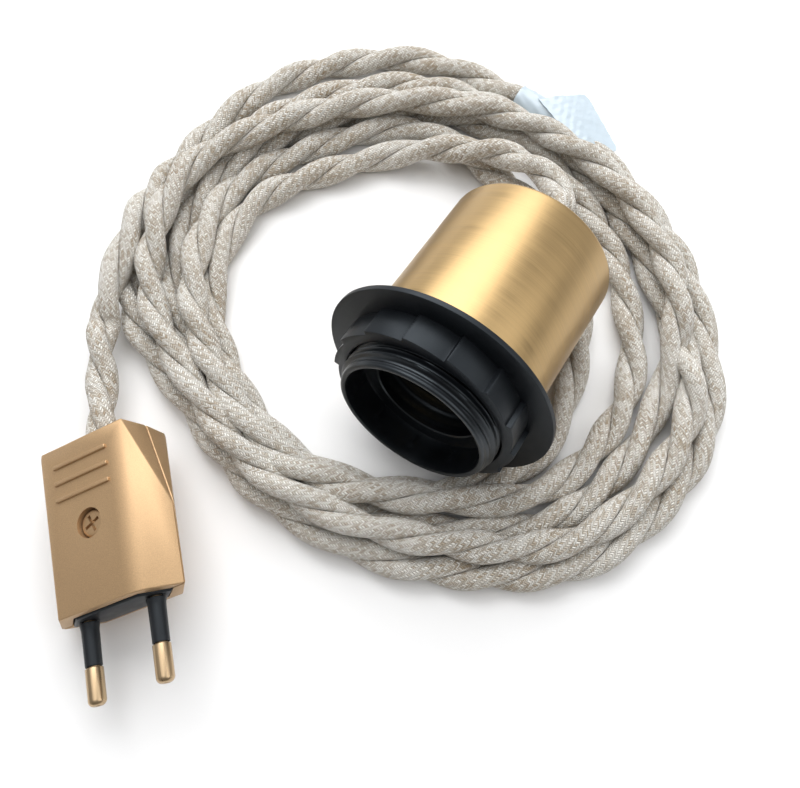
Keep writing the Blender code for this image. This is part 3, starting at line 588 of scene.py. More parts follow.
def glazed_ceramic(name, colour):
    """Off-white glazed ceramic, a little cloudy."""
    material, tree, shader = new_look(name)
    cloud = noise(tree, object_place(tree), 400.0)
    inputs = {
        "Base Color": mottled(tree, cloud, colour, 0.93, 1.0),
        "Roughness": ranged(tree, cloud, 0.18, 0.3),
        "Coat Weight": 0.5,
    }
    feed(tree, shader, inputs)
    return material


def braid_material(settings):
    """Textile braid: chevrons of pale and tan yarn wound along each strand, soft and a little hairy.
    The strand's own UV map carries it, u in metres along and v once round."""
    material, tree, shader = new_look("braided_textile_look")
    plus = partial(math_node, tree, "ADD")
    minus = partial(math_node, tree, "SUBTRACT")
    times = partial(math_node, tree, "MULTIPLY")
    fraction = partial(math_node, tree, "FRACT")
    floor = partial(math_node, tree, "FLOOR")
    sine = partial(math_node, tree, "SINE")
    uv = node(tree, "ShaderNodeUVMap", uv_map="strand")
    split = feed(tree, node(tree, "ShaderNodeSeparateXYZ"), {0: uv.outputs[0]})
    column = times(split.outputs["Y"], float(settings.columns))
    across = fraction(column)
    whole = floor(column)
    # Neighbouring columns lean opposite ways, which makes the chevrons
    lean = minus(times(math_node(tree, "PINGPONG", whole, 1.0), 2.0), 1.0)
    slant = times(minus(across, 0.5), 1.25)
    along = math_node(tree, "DIVIDE", split.outputs["X"], settings.stitch)
    phase = plus(along, times(slant, lean))
    round_yarn = sine(times(fraction(phase), math.pi))
    round_column = sine(times(across, math.pi))
    height = times(round_yarn, plus(times(round_column, 0.45), 0.55))
    cell = feed(tree, node(tree, "ShaderNodeCombineXYZ"), {0: floor(phase), 1: whole})
    speckle = node(tree, "ShaderNodeTexWhiteNoise", noise_dimensions="2D")
    feed(tree, speckle, {"Vector": cell.outputs[0]})
    place = object_place(tree)
    patches = ranged(tree, noise(tree, place, 55.0), -0.22, 0.22)
    fibres = noise(tree, place, 3600.0, 2.0, 0.7)
    share = clamped(tree, plus(plus(times(speckle.outputs["Value"], 1.1), patches), 0.18))
    yarn_colour = mix_colour(tree, share, tuple(settings.tan), tuple(settings.pale))
    # Painted shade: where a yarn's height falls off, in the hollows between yarns and between
    # columns, the colour darkens towards a dark tan
    depth = plus(times(height, 0.65), 0.38)
    inputs = {
        "Base Color": mix_colour(tree, depth, shade(settings.tan, 0.3), yarn_colour),
        "Roughness": 0.88,
        "Sheen Weight": 0.25,
        "Sheen Roughness": 0.5,
        "Specular IOR Level": 0.2,
        "Normal": bumped(tree, plus(height, times(fibres, 0.5)), 0.9, 0.00025),
    }
    feed(tree, shader, inputs)
    return material


def catmull(a, b, c, d, share):
    """Cubic value between b and c, with a and d as its neighbours."""
    return b + 0.5 * share * (
        c - a + share * (2 * a - 5 * b + 4 * c - d + share * (3 * (b - c) + d - a))
    )


def smooth_route(points, step):
    """Points every step or so along a smooth curve through the given ones."""
    route = []
    last = len(points) - 1
    for i in range(last):
        four = [points[min(max(i + k, 0), last)] for k in (-1, 0, 1, 2)]
        count = max(1, round(float(np.linalg.norm(four[2][:3] - four[1][:3])) / step))
        route += [catmull(*four, k / count) for k in range(count)]
    return np.array(route + [points[last]])


def coil_stations():
    """Plan place, start height and layer of every station, from the plug's side inwards, and a last
    value of 0 that says its height isn't held."""
    rows = []
    for turn, (radii, layers) in enumerate(zip(TURN_RADII, TURN_LAYERS)):
        for i, (radius, layer) in enumerate(zip(radii, layers)):
            bearing = COIL_START - 2 * math.pi * (turn + i / STATIONS)
            x = COIL_X + radius / 1000 * math.cos(bearing)
            y = COIL_Y + radius / 1000 * math.sin(bearing)
            rows.append((x, y, CORD_D / 2, layer, 0.0))
    return rows


# The cord's free ends, between the plug or the holder and the coil
PLUG_LEAD = ((0.0620, -0.0738, 0.0092), (0.0559, -0.0793, 0.0085), (0.0488, -0.0851, 0.0088))
HOLDER_LEAD = (
    (-0.0543, -0.0185, 0.0130),
    (-0.0541, -0.0125, 0.0137),
    (-0.0515, -0.0065, 0.0150),
    (-0.0471, -0.0020, 0.0168),
)
FREE_LAYER = 1.5

# How the coil settles: the thickness of a cord nested in its neighbour, the highest lift in such
# thicknesses, and how often and how strongly the heights are evened out
NEST = 0.0072
NEST_LIMIT = 1.3
SETTLE_STEP = 0.006
SETTLE_SWEEPS = 30
LAYER_STEP = 0.35
FIRST_ROUNDS = 6
LAST_ROUNDS = 2
LAST_SHARE = 0.94


def softened(z, held, start, floor, rounds):
    """Heights evened out along the cord. They stay on or above the floor and fixed where held."""
    for _ in range(rounds):
        even = z.copy()
        even[1:-1] = 0.5 * z[1:-1] + 0.25 * (z[:-2] + z[2:])
        z = np.where(held, start, np.maximum(even, floor))
    return z


def settle(rows):
    """Lets the coil's stretches rest on the floor and on each other. A stretch lies over those of a
    lower layer that it crosses, a nested cord's thickness away from them."""
    place = rows[:, :2]
    layer = rows[:, 3]
    held = rows[:, 4] > 0.5
    start = rows[:, 2].copy()
    z = start.copy()
    gap = np.linalg.norm(place[:, None] - place[None], axis=2)
    index = np.arange(len(rows))
    apart = np.abs(index[:, None] - index[None]) * SETTLE_STEP > 3 * NEST
    over = apart & (gap < NEST) & (layer[:, None] > layer[None] + LAYER_STEP)
    rise = np.sqrt(np.maximum(NEST**2 - gap**2, 0.0))
    for _ in range(SETTLE_SWEEPS):
        need = np.maximum(np.where(over, z[None] + rise, 0.0).max(axis=1), CORD_D / 2)
        need = np.minimum(need, CORD_D / 2 + NEST_LIMIT * NEST)
        z = softened(need, held, start, need, FIRST_ROUNDS)
        z = softened(z, held, start, LAST_SHARE * need, LAST_ROUNDS)
    rows[:, 2] = np.maximum(z, CORD_D / 2)
    return rows


def cord_route(step):
    """The cord's middle line from the plug to the holder, a point every step or so."""
    plug_end = (PLUG_EXIT, PLUG_BEYOND, *PLUG_LEAD)
    holder_end = (*HOLDER_LEAD, HOLDER_BEYOND, HOLDER_EXIT)
    held_ends = [[(*p, FREE_LAYER, 1.0) for p in end] for end in (plug_end, holder_end)]
    rough = np.array(held_ends[0] + coil_stations() + held_ends[1])
    settled = settle(smooth_route(rough, SETTLE_STEP))
    return smooth_route(settled[:, :3], step)


def turning_frames(path):
    """A direction across the path at each of its points, carried along without twisting."""
    along = np.gradient(path, axis=0)
    along /= np.linalg.norm(along, axis=1)[:, None]
    side = np.cross(along[0], (0.0, 0.0, 1.0))
    sides = []
    for t in along:
        side = side - t * np.dot(side, t)
        side /= np.linalg.norm(side)
        sides.append(side)
    sides = np.array(sides)
    return sides, np.cross(along, sides)


def strand_outline(radius, offset, sides):
    """Section of one strand: round outside, flattened where it lies against the other strand."""
    outline = []
    for i in range(sides):
        angle = 2 * math.pi * i / sides
        across = offset + radius * math.cos(angle)
        outline.append((max(across, 0.0001), radius * math.sin(angle)))
    return outline


def strand_turn(distance, strand, settings):
    """Angle of a strand round the cord's middle: an S twist that is a little uneven."""
    drift = 0.35 * math.sin(distance * 41.0) + 0.25 * math.sin(distance * 97.0 + 1.0)
    return -2 * math.pi * distance / settings.pitch + drift + math.pi * strand


def twisted_strands(name, path, settings):
    """Both strands of the cord wound round its path, each closed at its ends, with a UV map whose u
    runs along the strand in twists and whose v runs round it."""
    sides, ups = turning_frames(path)
    gone = distances(path)
    radius = settings.strand / 2
    offset = settings.diameter / 2 - radius
    outline = strand_outline(radius, offset, settings.ring_sides)
    count = len(outline)
    mesh = bpy.data.meshes.new(name)
    points = []
    faces = []
    uvs = []
    for strand in range(2):
        base = len(points)
        for i, middle in enumerate(path):
            turn = strand_turn(gone[i], strand, settings)
            ray = math.cos(turn) * sides[i] + math.sin(turn) * ups[i]
            cross = -math.sin(turn) * sides[i] + math.cos(turn) * ups[i]
            for a, b in outline:
                points.append(middle + a * ray + b * cross)
        for i in range(len(path) - 1):
            for k in range(count):
                after = (k + 1) % count
                low = base + i * count
                high = low + count
                faces.append((low + k, low + after, high + after, high + k))
                uvs += [
                    (gone[i], k / count),
                    (gone[i], (k + 1) / count),
                    (gone[i + 1], (k + 1) / count),
                    (gone[i + 1], k / count),
                ]
        last_ring = base + (len(path) - 1) * count
        for ring, order in ((base, reversed(range(count))), (last_ring, range(count))):
            faces.append(tuple(ring + k for k in order))
            uvs += [(0.0, 0.0)] * count
    mesh.from_pydata([tuple(p) for p in points], [], faces)
    layer = mesh.uv_layers.new(name="strand")
    layer.data.foreach_set("uv", np.array(uvs, np.float32).ravel())
    mesh.shade_smooth()
    obj = bpy.data.objects.new(name, mesh)
    bpy.context.scene.collection.objects.link(obj)
    return obj


def point_at(path, gone, distance):
    """The point of the cord's middle line that far from the plug, and the line's direction there."""
    point = np.array([np.interp(distance, gone, path[:, k]) for k in range(3)])
    ahead = np.array([np.interp(distance + 0.001, gone, path[:, k]) for k in range(3)])
    along = ahead - point
    return point, along / np.linalg.norm(along)


def distances(path):
    return np.concatenate([[0.0], np.cumsum(np.linalg.norm(np.diff(path, axis=0), axis=1))])


def crinkle(x, y, size):
    """A small uneven rise and fall over a sheet."""
    waves = math.sin(1900 * x + 700 * y)
    waves += math.sin(2600 * y - 900 * x + 1.0)
    waves += math.sin(4100 * x + 3300 * y)
    return size * waves / 3


def film_grid(name, across, along):
    leave_edit()
    bpy.ops.object.select_all(action="DESELECT")
    bpy.ops.mesh.primitive_grid_add(x_subdivisions=across, y_subdivisions=along, size=1.0)
    return named(name)


def label_wrap(path, gone):
    """The part of the label that goes round the cord, from its outer side over it."""
    wrap = film_grid("label_wrap", 30, 16)
    for vertex in wrap.data.vertices:
        distance = LABEL_FROM + (vertex.co.y + 0.5) * (LABEL_TO - LABEL_FROM)
        middle, direction = point_at(path, gone, distance)
        outward = Vector((direction[1], -direction[0], 0.0)).normalized()
        if outward.dot(Vector((middle[0] - COIL_X, middle[1] - COIL_Y, 0.0))) < 0:
            outward = -outward
        angle = math.radians(WRAP_FROM_DEG + WRAP_SWEEP_DEG * (vertex.co.x + 0.5))
        reach = LABEL_R + crinkle(distance, 0.004 * angle, WRAP_CRINKLE)
        ray = math.cos(angle) * outward + math.sin(angle) * Vector((0, 0, 1))
        vertex.co = Vector(middle) + reach * ray
    return wrap


def label_flag():
    """The label's free flag, with rounded outer corners and a slight droop."""
    flag = film_grid("label_flag", 24, 28)
    inner = [Vector(p) for p in FLAG_INNER]
    outer = [Vector(p) for p in FLAG_OUTER]
    for vertex in flag.data.vertices:
        a = vertex.co.x + 0.5
        b = vertex.co.y + 0.5
        turn = max((a - 1 + FLAG_CORNER_OUT) / FLAG_CORNER_OUT, 0.0)
        shrink = FLAG_CORNER_ALONG * (1 - math.sqrt(1 - min(turn, 1.0) ** 2))
        b = shrink + b * (1 - 2 * shrink)
        near = inner[0].lerp(inner[1], b)
        far = outer[0].lerp(outer[1], b)
        place = near.lerp(far, a)
        uneven = crinkle(place.x, place.y, FLAG_CRINKLE * (1.6 - b))
        vertex.co = place + Vector((0, 0, FLAG_DROOP * math.sin(math.pi * a) + uneven))
    return flag


class PENDANT_OT_label(bpy.types.Operator):
    """Wraps the clear film label round the cord, with its bare flag beside the coil"""

    bl_idname = "pendant.label"
    bl_label = "Label"

    def execute(self, context):
        settings = context.scene.pendant_cord
        path = cord_route(settings.ring_step)
        wrap = label_wrap(path, distances(path))
        flag = label_flag()
        only(wrap)
        flag.select_set(True)
        bpy.ops.object.join()
        label = named("film_label")
        apply_modifier(label, "SOLIDIFY", thickness=settings.film, offset=0.0)
        look = clear_film("clear_label_look", settings.film_colour)
        finish_piece(label, WORLD, look, "holder", "clear_label", "label_tag", smooth_angle=50)
        return {"FINISHED"}


def fibre(mesh_parts, root, way, bend, length, radius):
    """One hair: a thin three-sided tube that curves over and comes to a point."""
    points, faces = mesh_parts
    across = way.cross(bend).normalized()
    base = len(points)
    steps = 4
    for i in range(steps):
        t = i / (steps - 1)
        middle = root + way * length * t + bend * length * 0.45 * t * t
        thin = radius * (1 - 0.7 * t)
        for k in range(3):
            angle = 2 * math.pi * k / 3
            points.append(middle + thin * (math.cos(angle) * across + math.sin(angle) * bend))
    for i in range(steps - 1):
        for k in range(3):
            low = base + 3 * i
            faces.append((low + k, low + (k + 1) % 3, low + 3 + (k + 1) % 3, low + 3 + k))
    faces.append((base + 2, base + 1, base))
    top = base + 3 * (steps - 1)
    faces.append((top, top + 1, top + 2))


class PENDANT_OT_fibres(bpy.types.Operator):
    """Scatters short loose hairs over the cord's braid"""

    bl_idname = "pendant.fibres"
    bl_label = "Loose fibres"

    def execute(self, context):
        settings = context.scene.pendant_cord
        path = cord_route(settings.ring_step)
        gone = distances(path)
        sides, ups = turning_frames(path)
        chance = np.random.RandomState(5)
        parts = ([], [])
        for _ in range(settings.fibres):
            i = chance.randint(BARE_RINGS, len(path) - BARE_RINGS)
            strand = chance.randint(2)
            turn = strand_turn(gone[i], strand, settings)
            ray = Vector(math.cos(turn) * sides[i] + math.sin(turn) * ups[i])
            spread = Vector(chance.normal(size=3)).normalized()
            out = (ray + 0.7 * spread).normalized()
            offset = settings.diameter / 2 - settings.strand / 2
            root = Vector(path[i]) + ray * offset + out * settings.strand * 0.49
            along = Vector(path[i + 1] - path[i]).normalized() * (1 if chance.rand() > 0.5 else -1)
            bend = (along + 0.5 * Vector(chance.normal(size=3)).normalized()).normalized()
            length = FIBRE_SHORT + FIBRE_MORE * chance.rand() ** 2
            way = (out + 0.9 * along).normalized()
            if (root + way * length).z > FIBRE_CLEAR:
                fibre(parts, root, way, bend, length, FIBRE_R)
        mesh = bpy.data.meshes.new("loose_fibres")
        mesh.from_pydata([tuple(p) for p in parts[0]], [], parts[1])
        fibres = bpy.data.objects.new("loose_fibres", mesh)
        context.scene.collection.objects.link(fibres)
        close_up(fibres)
        look = moulded_plastic("loose_fibre_look", settings.pale, 0.8, 0.0002)
        finish_piece(fibres, WORLD, look, "holder", "braided_textile")
        return {"FINISHED"}


# Pieces of the scene that go where the cord goes
PIECES_ON_CORD = (
    "film_label",
    "loose_fibres",
    "plug_cover_front",
    "plug_cover_back",
    "plug_cover_screw",
    "plug_pin_carrier",
    "pin_left",
    "pin_right",
    "sleeve_left",
    "sleeve_right",
)


class PENDANT_OT_cord(bpy.types.Operator):
    """Winds the twisted textile cord from the plug through its coil to the holder"""

    bl_idname = "pendant.cord"
    bl_label = "Cord"

    def execute(self, context):
        settings = context.scene.pendant_cord
        path = cord_route(settings.ring_step)
        cord = twisted_strands("braided_cord", path, settings)
        cord.data.materials.append(braid_material(settings))
        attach(cord, "holder")
        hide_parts("cord_coil", "cord_lead_plug", "cord_lead_holder")
        on_cord = [n for n in frame["nodes"] if n.startswith(("plug_", "cord_clamp", "clamp_screw"))]
        on_cord += [bpy.data.objects[name] for name in PIECES_ON_CORD]
        return {"FINISHED"}


class PENDANT_OT_brass_cup(bpy.types.Operator):
    """Turns the brushed brass cup, with its rolled back edge and cord hole"""

    bl_idname = "pendant.brass_cup"
    bl_label = "Brass cup"

    def execute(self, context):
        settings = context.scene.pendant_holder
        back, front, radius = local_reach("brass_cup", holder_frame)
        wall = settings.cup_wall
        inner = radius - wall
        hole = CUP_HOLE_R
        lip = wall / 3
        corners = [
            (front, radius, lip),
            (back, radius, settings.cup_edge),
            (back, hole, lip),
            (back + wall, hole, lip),
            (back + wall, inner, settings.cup_edge - wall / 2),
            (front, inner, lip),
        ]
        cup = turned("brushed_cup", eased(corners, 5), settings.sides)
        look = brushed_metal("brushed_brass_look", settings.brass, holder_frame, 0.36)
        finish_piece(cup, holder_frame, look, "holder", "brushed_brass", "brass_cup")
        return {"FINISHED"}


def stepped_outline(radius, step, count, turn):
    """Points round the collar. In each part the radius rises, then drops back like a ratchet."""
    shares = (0.0, 0.1, 0.2, 0.3, 0.4, 0.5, 0.6, 0.7, 0.8, 0.9, 0.965)
    points = []
    for i in range(count):
        for share in shares:
            angle = turn + 2 * math.pi * (i + share) / count
            reach = radius - step * (1 - share)
            points.append((reach * math.cos(angle), reach * math.sin(angle)))
    return points


class PENDANT_OT_shade_ring(bpy.types.Operator):
    """Makes the shade ring: a thin flange with a stepped grip collar in front of it"""

    bl_idname = "pendant.shade_ring"
    bl_label = "Shade ring"

    def execute(self, context):
        settings = context.scene.pendant_holder
        back, front, radius = local_reach("shade_ring", holder_frame)
        edge = 0.00015
        bore = settings.thread_root + settings.thread_rise + FIT
        corners = [(back, radius, edge), (0.0, radius, edge), (0.0, bore, 0.0), (back, bore, edge)]
        flange = turned("threaded_shade_ring", eased(corners), settings.sides)
        outline = stepped_outline(
            settings.collar_radius, settings.collar_step, settings.collar_steps, settings.collar_turn
        )
        rings = [(back / 2, y, z) for y, z in outline]
        collar = pushed_out("collar", rings, (front - back / 2, 0, 0))
        ease_edges(collar, 0.00016, 2, 25)
        chamfer = 0.0003
        cutter_outline = [(2 * back, 0.0), (2 * back, bore), (front - chamfer, bore)]
        cutter_outline += [(front, bore + chamfer), (front - back, bore + 2 * chamfer)]
        cutter_outline += [(front - back, 0.0)]
        cutter = turned("collar_bore", cutter_outline, settings.sides)
        combine(collar, cutter, "DIFFERENCE")
        combine(flange, collar, "UNION")
        look = moulded_plastic("blue_black_plastic_look", settings.black, 0.4)
        finish_piece(
            flange, holder_frame, look, "shade_ring", "black_plastic", "shade_ring", smooth_angle=28
        )
        return {"FINISHED"}


def thread_height(station, angle, front, pitch, rise):
    """Height of a rounded thread above its root, fading in over its first turn."""
    place = ((front - station) / pitch + angle / (2 * math.pi)) % 1.0
    ridge = 0.5 - 0.5 * math.cos(2 * math.pi * place)
    fade = min(max((front - station) / pitch, 0.0), 1.0)
    return rise * ridge**THREAD_SHARPNESS * fade


class PENDANT_OT_skirt(bpy.types.Operator):
    """Turns the holder's skirt and raises its threads and the small ribs inside its mouth"""

    bl_idname = "pendant.skirt"
    bl_label = "Threaded skirt"

    def execute(self, context):
        settings = context.scene.pendant_holder
        back, front, _ = local_reach("holder_skirt", holder_frame)
        root = settings.thread_root
        wall_r = root - SKIRT_WALL
        socket = settings.socket_radius
        socket_outer = socket + SKIRT_WALL
        dense = settings.thread_pitch / THREAD_STATIONS
        outer_count = round((front - THREAD_BACK) / dense)
        outline = [(front, root - 0.0004), (front - 0.0002, root - 0.0001)]
        outline += [(front - 0.0005 - i * dense, root) for i in range(outer_count)]
        outline += [(back, root), (back, wall_r)]
        outline += [(LIP_BACK, wall_r), (LIP_BACK, socket_outer), (SOCKET_BACK, socket_outer)]
        inner_count = round((LIP_BACK - SOCKET_BACK) / (settings.socket_pitch / SOCKET_STATIONS))
        inner_step = (LIP_BACK - SOCKET_BACK) / inner_count
        outline += [(SOCKET_BACK + i * inner_step, socket) for i in range(inner_count + 1)]
        lip_r = socket - 0.0005
        outline += [(LIP_BACK + 0.0002, lip_r), (LIP_FRONT - 0.0003, lip_r)]
        outline += [(LIP_FRONT, lip_r + 0.0003), (LIP_FRONT, wall_r - 0.0006)]
        outline += [(LIP_FRONT + 0.0002, wall_r - 0.0001)]
        outline += [(LIP_FRONT + 0.0006 + i * 0.0007, wall_r) for i in range(10)]
        outline += [(front - 0.0002, wall_r + 0.0001), (front, wall_r + 0.0004)]
        skirt = turned("threaded_skirt", outline, settings.sides)
        socket_front = LIP_BACK - inner_step / 2
        ribs_back = LIP_FRONT + RIB_FROM
        ribs_front = LIP_FRONT + RIB_TO
        for vertex in skirt.data.vertices:
            x, y, z = vertex.co
            radius = math.hypot(y, z)
            angle = math.atan2(z, y)
            if abs(radius - root) < SAME_RADIUS and x > front - THREAD_LENGTH:
                start = front - THREAD_START
                new = root + thread_height(
                    x, angle, start, settings.thread_pitch, settings.thread_rise
                )
            elif abs(radius - socket) < SAME_RADIUS and SOCKET_BACK < x < socket_front:
                new = socket - thread_height(
                    x, -angle, LIP_BACK, settings.socket_pitch, SOCKET_RISE
                )
            elif abs(radius - wall_r) < SAME_RADIUS and ribs_back < x < ribs_front:
                off_middle = abs((angle / (2 * math.pi) * INNER_RIBS) % 1.0 - 0.5)
                rib = off_middle < 0.5 * INNER_RIBS / settings.sides
                new = wall_r - (RIB_RISE if rib else 0.0)
            else:
                continue
            vertex.co.y = y * new / radius
            vertex.co.z = z * new / radius
        # Painted shade: the skirt takes a darker copy of the holder's black plastic, standing in for
        # the shadow in its thread valleys
        painted_shade_black = shade(settings.black, 0.6)
        look = moulded_plastic("painted_shade_black_plastic_look", painted_shade_black, 0.33, specular=0.55)
        finish_piece(
            skirt, holder_frame, look, "holder", "black_plastic", "holder_skirt", smooth_angle=40
        )
        return {"FINISHED"}


class PENDANT_OT_cord_grip(bpy.types.Operator):
    """Turns the brass cord grip behind the cup"""

    bl_idname = "pendant.cord_grip"
    bl_label = "Cord grip"

    def execute(self, context):
        settings = context.scene.pendant_holder
        back, front, radius = local_reach("cord_grip", holder_frame)
        bore = CORD_D / 2 + FIT
        ease = 0.0006
        waist = back + 0.0042
        groove = 0.0006
        bore_end = back + 0.007
        corners = [(front, CUP_HOLE_R, 0.0), (front, radius, ease / 2)]
        corners += [(waist + 2 * groove, radius, ease / 2)]
        corners += [(waist + groove, radius - groove, ease / 2), (waist, radius - groove, ease / 2)]
        corners += [(waist - groove, radius, ease / 2), (back, radius, 2 * ease), (back, bore, ease)]
        corners += [(bore_end, bore, 0.0), (bore_end, CUP_HOLE_R, 0.0)]
        grip = turned("turned_cord_grip", eased(corners), 64)
        look = brushed_metal("grip_brass_look", settings.brass, holder_frame, 0.26)
        finish_piece(grip, holder_frame, look, "holder", "brushed_brass", "cord_grip")
        return {"FINISHED"}


def half_shell(name, side, inset, settings):
    """One half of the plug's body as a closed hull, its side +1 at the front and -1 at the back."""
    near = inset
    far = PLUG_LENGTH - inset
    top = side * (PLUG_HALF_T - inset)
    tail_top = side * (PLUG_TAIL_HALF_T - inset)
    levels = (side * FIT / 2, -side * inset) if inset else (side * FIT / 2,)
    corners = []
    for x in (-1, 1):
        if inset or side < 0 or x < 0:
            corners.append((x * (PLUG_FLAT - inset / 2), near, top))
        corners.append((x * (PLUG_TAIL_FLAT - inset), far, tail_top))
        widest = x * (PLUG_WIDE - inset)
        for z in levels:
            corners += [(widest, near, z), (widest, PLUG_STRAIGHT, z)]
            corners.append((x * (PLUG_TAIL_WIDE - inset), far, z))
    if side > 0 and not inset:
        corners += soft_edge_points(settings.soft_edge)
    obj = drawn_line(name, corners)
    bpy.ops.mesh.select_all(action="SELECT")
    bpy.ops.mesh.convex_hull()
    bpy.ops.mesh.select_all(action="SELECT")
    bpy.ops.mesh.dissolve_limited(angle_limit=math.radians(0.5))
    return close_up(obj)


def soft_edge_points(ease, steps=12):
    """Points round the front cover's right edge at the pin face. The edge is sharp at the tail and
    grows softer towards the pins."""
    corner = Vector((PLUG_FLAT, 0.0, PLUG_HALF_T))
    slope = (Vector((PLUG_WIDE, 0.0, 0.0)) - corner).normalized()
    start = corner - Vector((ease, 0.0, 0.0))
    end = corner + ease * slope
    points = []
    for i in range(steps + 1):
        t = i / steps
        points.append(tuple(start * (1 - t) ** 2 + corner * 2 * t * (1 - t) + end * t**2))
    return points


def screw_tool(name, radius, low, high):
    """A round tool that stands where the plug's screw goes."""
    return rod(name, radius, high - low, (0, PLUG_SCREW_Y, (low + high) / 2))


def carrier_block(name, extra, near, far):
    """The pin carrier's six-sided bar, with a little extra all round."""
    wide = CARRIER_WIDE + extra
    flat = CARRIER_FLAT + extra
    high = CARRIER_HIGH + extra
    outline = [(-wide, 0), (-flat, -high), (flat, -high), (wide, 0), (flat, high), (-flat, high)]
    return pushed_out(name, [(x, near, z) for x, z in outline], (0, far - near, 0))


def grip_bar(middle, settings):
    """A raised bar with round ends, standing on the front face."""
    surface = PLUG_HALF_T + (PLUG_TAIL_HALF_T - PLUG_HALF_T) * middle / PLUG_LENGTH
    size = (2 * BAR_HALF, settings.bar_width, 2 * settings.bar_height)
    bar = box_at("grip_bar", size, (BAR_SHIFT, middle, surface))
    apply_modifier(bar, "BEVEL", width=settings.bar_width * 0.3, segments=3, limit_method="NONE")
    return bar


def plug_cover(name, side, settings):
    """A cover of the plug, hollow but for the screw's post, with its slot, holes and screw recess."""
    cover = half_shell(name, side, 0.0, settings)
    ease_edges(cover, settings.fine_edge, 3, 24)
    hollow = half_shell(name + "_hollow", side, PLUG_WALL, settings)
    combine(hollow, screw_tool("post", POST_R, -PLUG_LENGTH, PLUG_LENGTH), "DIFFERENCE")
    floor = PLUG_HALF_T - RECESS_DEPTH
    reach = (floor, PLUG_LENGTH) if side > 0 else (-PLUG_LENGTH, -floor)
    for tool in (
        hollow,
        carrier_block("slot", FIT, -PLUG_WALL, CARRIER_BACK),
        rod("cord_hole", CORD_D / 2 + FIT, 4 * PLUG_WALL, (0, PLUG_LENGTH, 0), ALONG_Y, 48),
        screw_tool("bore", SCREW_BORE_R, -PLUG_LENGTH, PLUG_LENGTH),
        screw_tool("recess", RECESS_R, *reach),
    ):
        combine(cover, tool, "DIFFERENCE")
    return cover


class PENDANT_OT_plug_covers(bpy.types.Operator):
    """Models both covers of the plug, with the grip bars on the front one"""

    bl_idname = "pendant.plug_covers"
    bl_label = "Plug covers"

    def execute(self, context):
        settings = context.scene.pendant_plug
        look = metallic_paint("copper_gold_paint_look", settings.paint)
        front = plug_cover("plug_cover_front", 1, settings)
        for i in range(BAR_COUNT):
            combine(front, grip_bar(BAR_LAST_Y - i * BAR_PITCH, settings), "UNION")
        back = plug_cover("plug_cover_back", -1, settings)
        slot = "copper_gold_paint"
        finish_piece(front, plug_frame, look, "holder", slot, "plug_front_cover", smooth_angle=28)
        finish_piece(back, plug_frame, look, "holder", slot, "plug_back_cover", smooth_angle=28)
        return {"FINISHED"}


def round_tip(end, radius, ease, steps=7):
    """Points round a pin's end, from its side to the rim of the small hole in its middle."""
    points = []
    for i in range(1, steps):
        angle = math.pi / 2 * i / steps
        points.append((end - ease + ease * math.sin(angle), radius - ease + ease * math.cos(angle)))
    return points


def pin_outline():
    """A pin from its root in the carrier to the small hole in its end."""
    hole_end = PIN_LENGTH - PIN_HOLE_DEPTH
    corners = [(PIN_ROOT, 0.0, 0.0), (PIN_ROOT, PIN_CORE_R, 0.0002)]
    corners += [(SLEEVE_END + FIT, PIN_CORE_R, 0.0), (SLEEVE_END + FIT, PIN_R, 0.0002)]
    corners += [(PIN_LENGTH - PIN_ROUND, PIN_R, 0.0)]
    outline = eased(corners) + round_tip(PIN_LENGTH, PIN_R, PIN_ROUND)
    outline += [(PIN_LENGTH - 0.0001, PIN_HOLE_R), (hole_end, 0.9 * PIN_HOLE_R), (hole_end, 0.0)]
    return outline


def sleeve_outline():
    """A pin's plastic sleeve, a little wider where it leaves the carrier."""
    bore = PIN_CORE_R + FIT
    corners = [(CARRIER_LIP, bore, 0.0), (CARRIER_LIP, PIN_R + SLEEVE_FLARE, 0.0002)]
    corners += [(CARRIER_LIP + 0.0015, PIN_R, 0.0006)]
    corners += [(SLEEVE_END, PIN_R - 0.0001, 0.0002), (SLEEVE_END, bore, 0.0)]
    return eased(corners)


def pin_carrier():
    """The plastic bar that both pins stand in."""
    carrier = carrier_block("plug_pin_carrier", 0.0, -CARRIER_LIP + FIT, CARRIER_BACK - FIT)
    ease_edges(carrier, 0.0005, 3, 20)
    for side in (-1, 1):
        place = (side * PIN_BASE_GAP / 2, 0, 0)
        pin_hole = rod("pin_hole", PIN_CORE_R + FIT, 0.04, place, ALONG_Y, 32)
        combine(carrier, pin_hole, "DIFFERENCE")
    return carrier


def cover_screw():
    """The screw that holds the covers, lying along X, with a cross in its head."""
    low = -(PLUG_HALF_T - RECESS_DEPTH) - SCREW_TAIL
    seat = PLUG_HALF_T - RECESS_DEPTH + FIT
    top = seat + SCREW_HEAD_HIGH
    corners = [(low, 0.0, 0.0), (low, SCREW_R, 0.0), (seat, SCREW_R, 0.0)]
    corners += [(seat, SCREW_HEAD_R, 0.0003), (top, SCREW_HEAD_R, 0.0008), (top, 0.0, 0.0)]
    screw = turned("plug_cover_screw", eased(corners), 40)
    for turn in (SCREW_TURN, SCREW_TURN + math.pi / 2):
        arm = box_at("cross_arm", CROSS_ARM, (top, 0, 0), (turn, 0, 0))
        combine(screw, arm, "DIFFERENCE")
    return screw


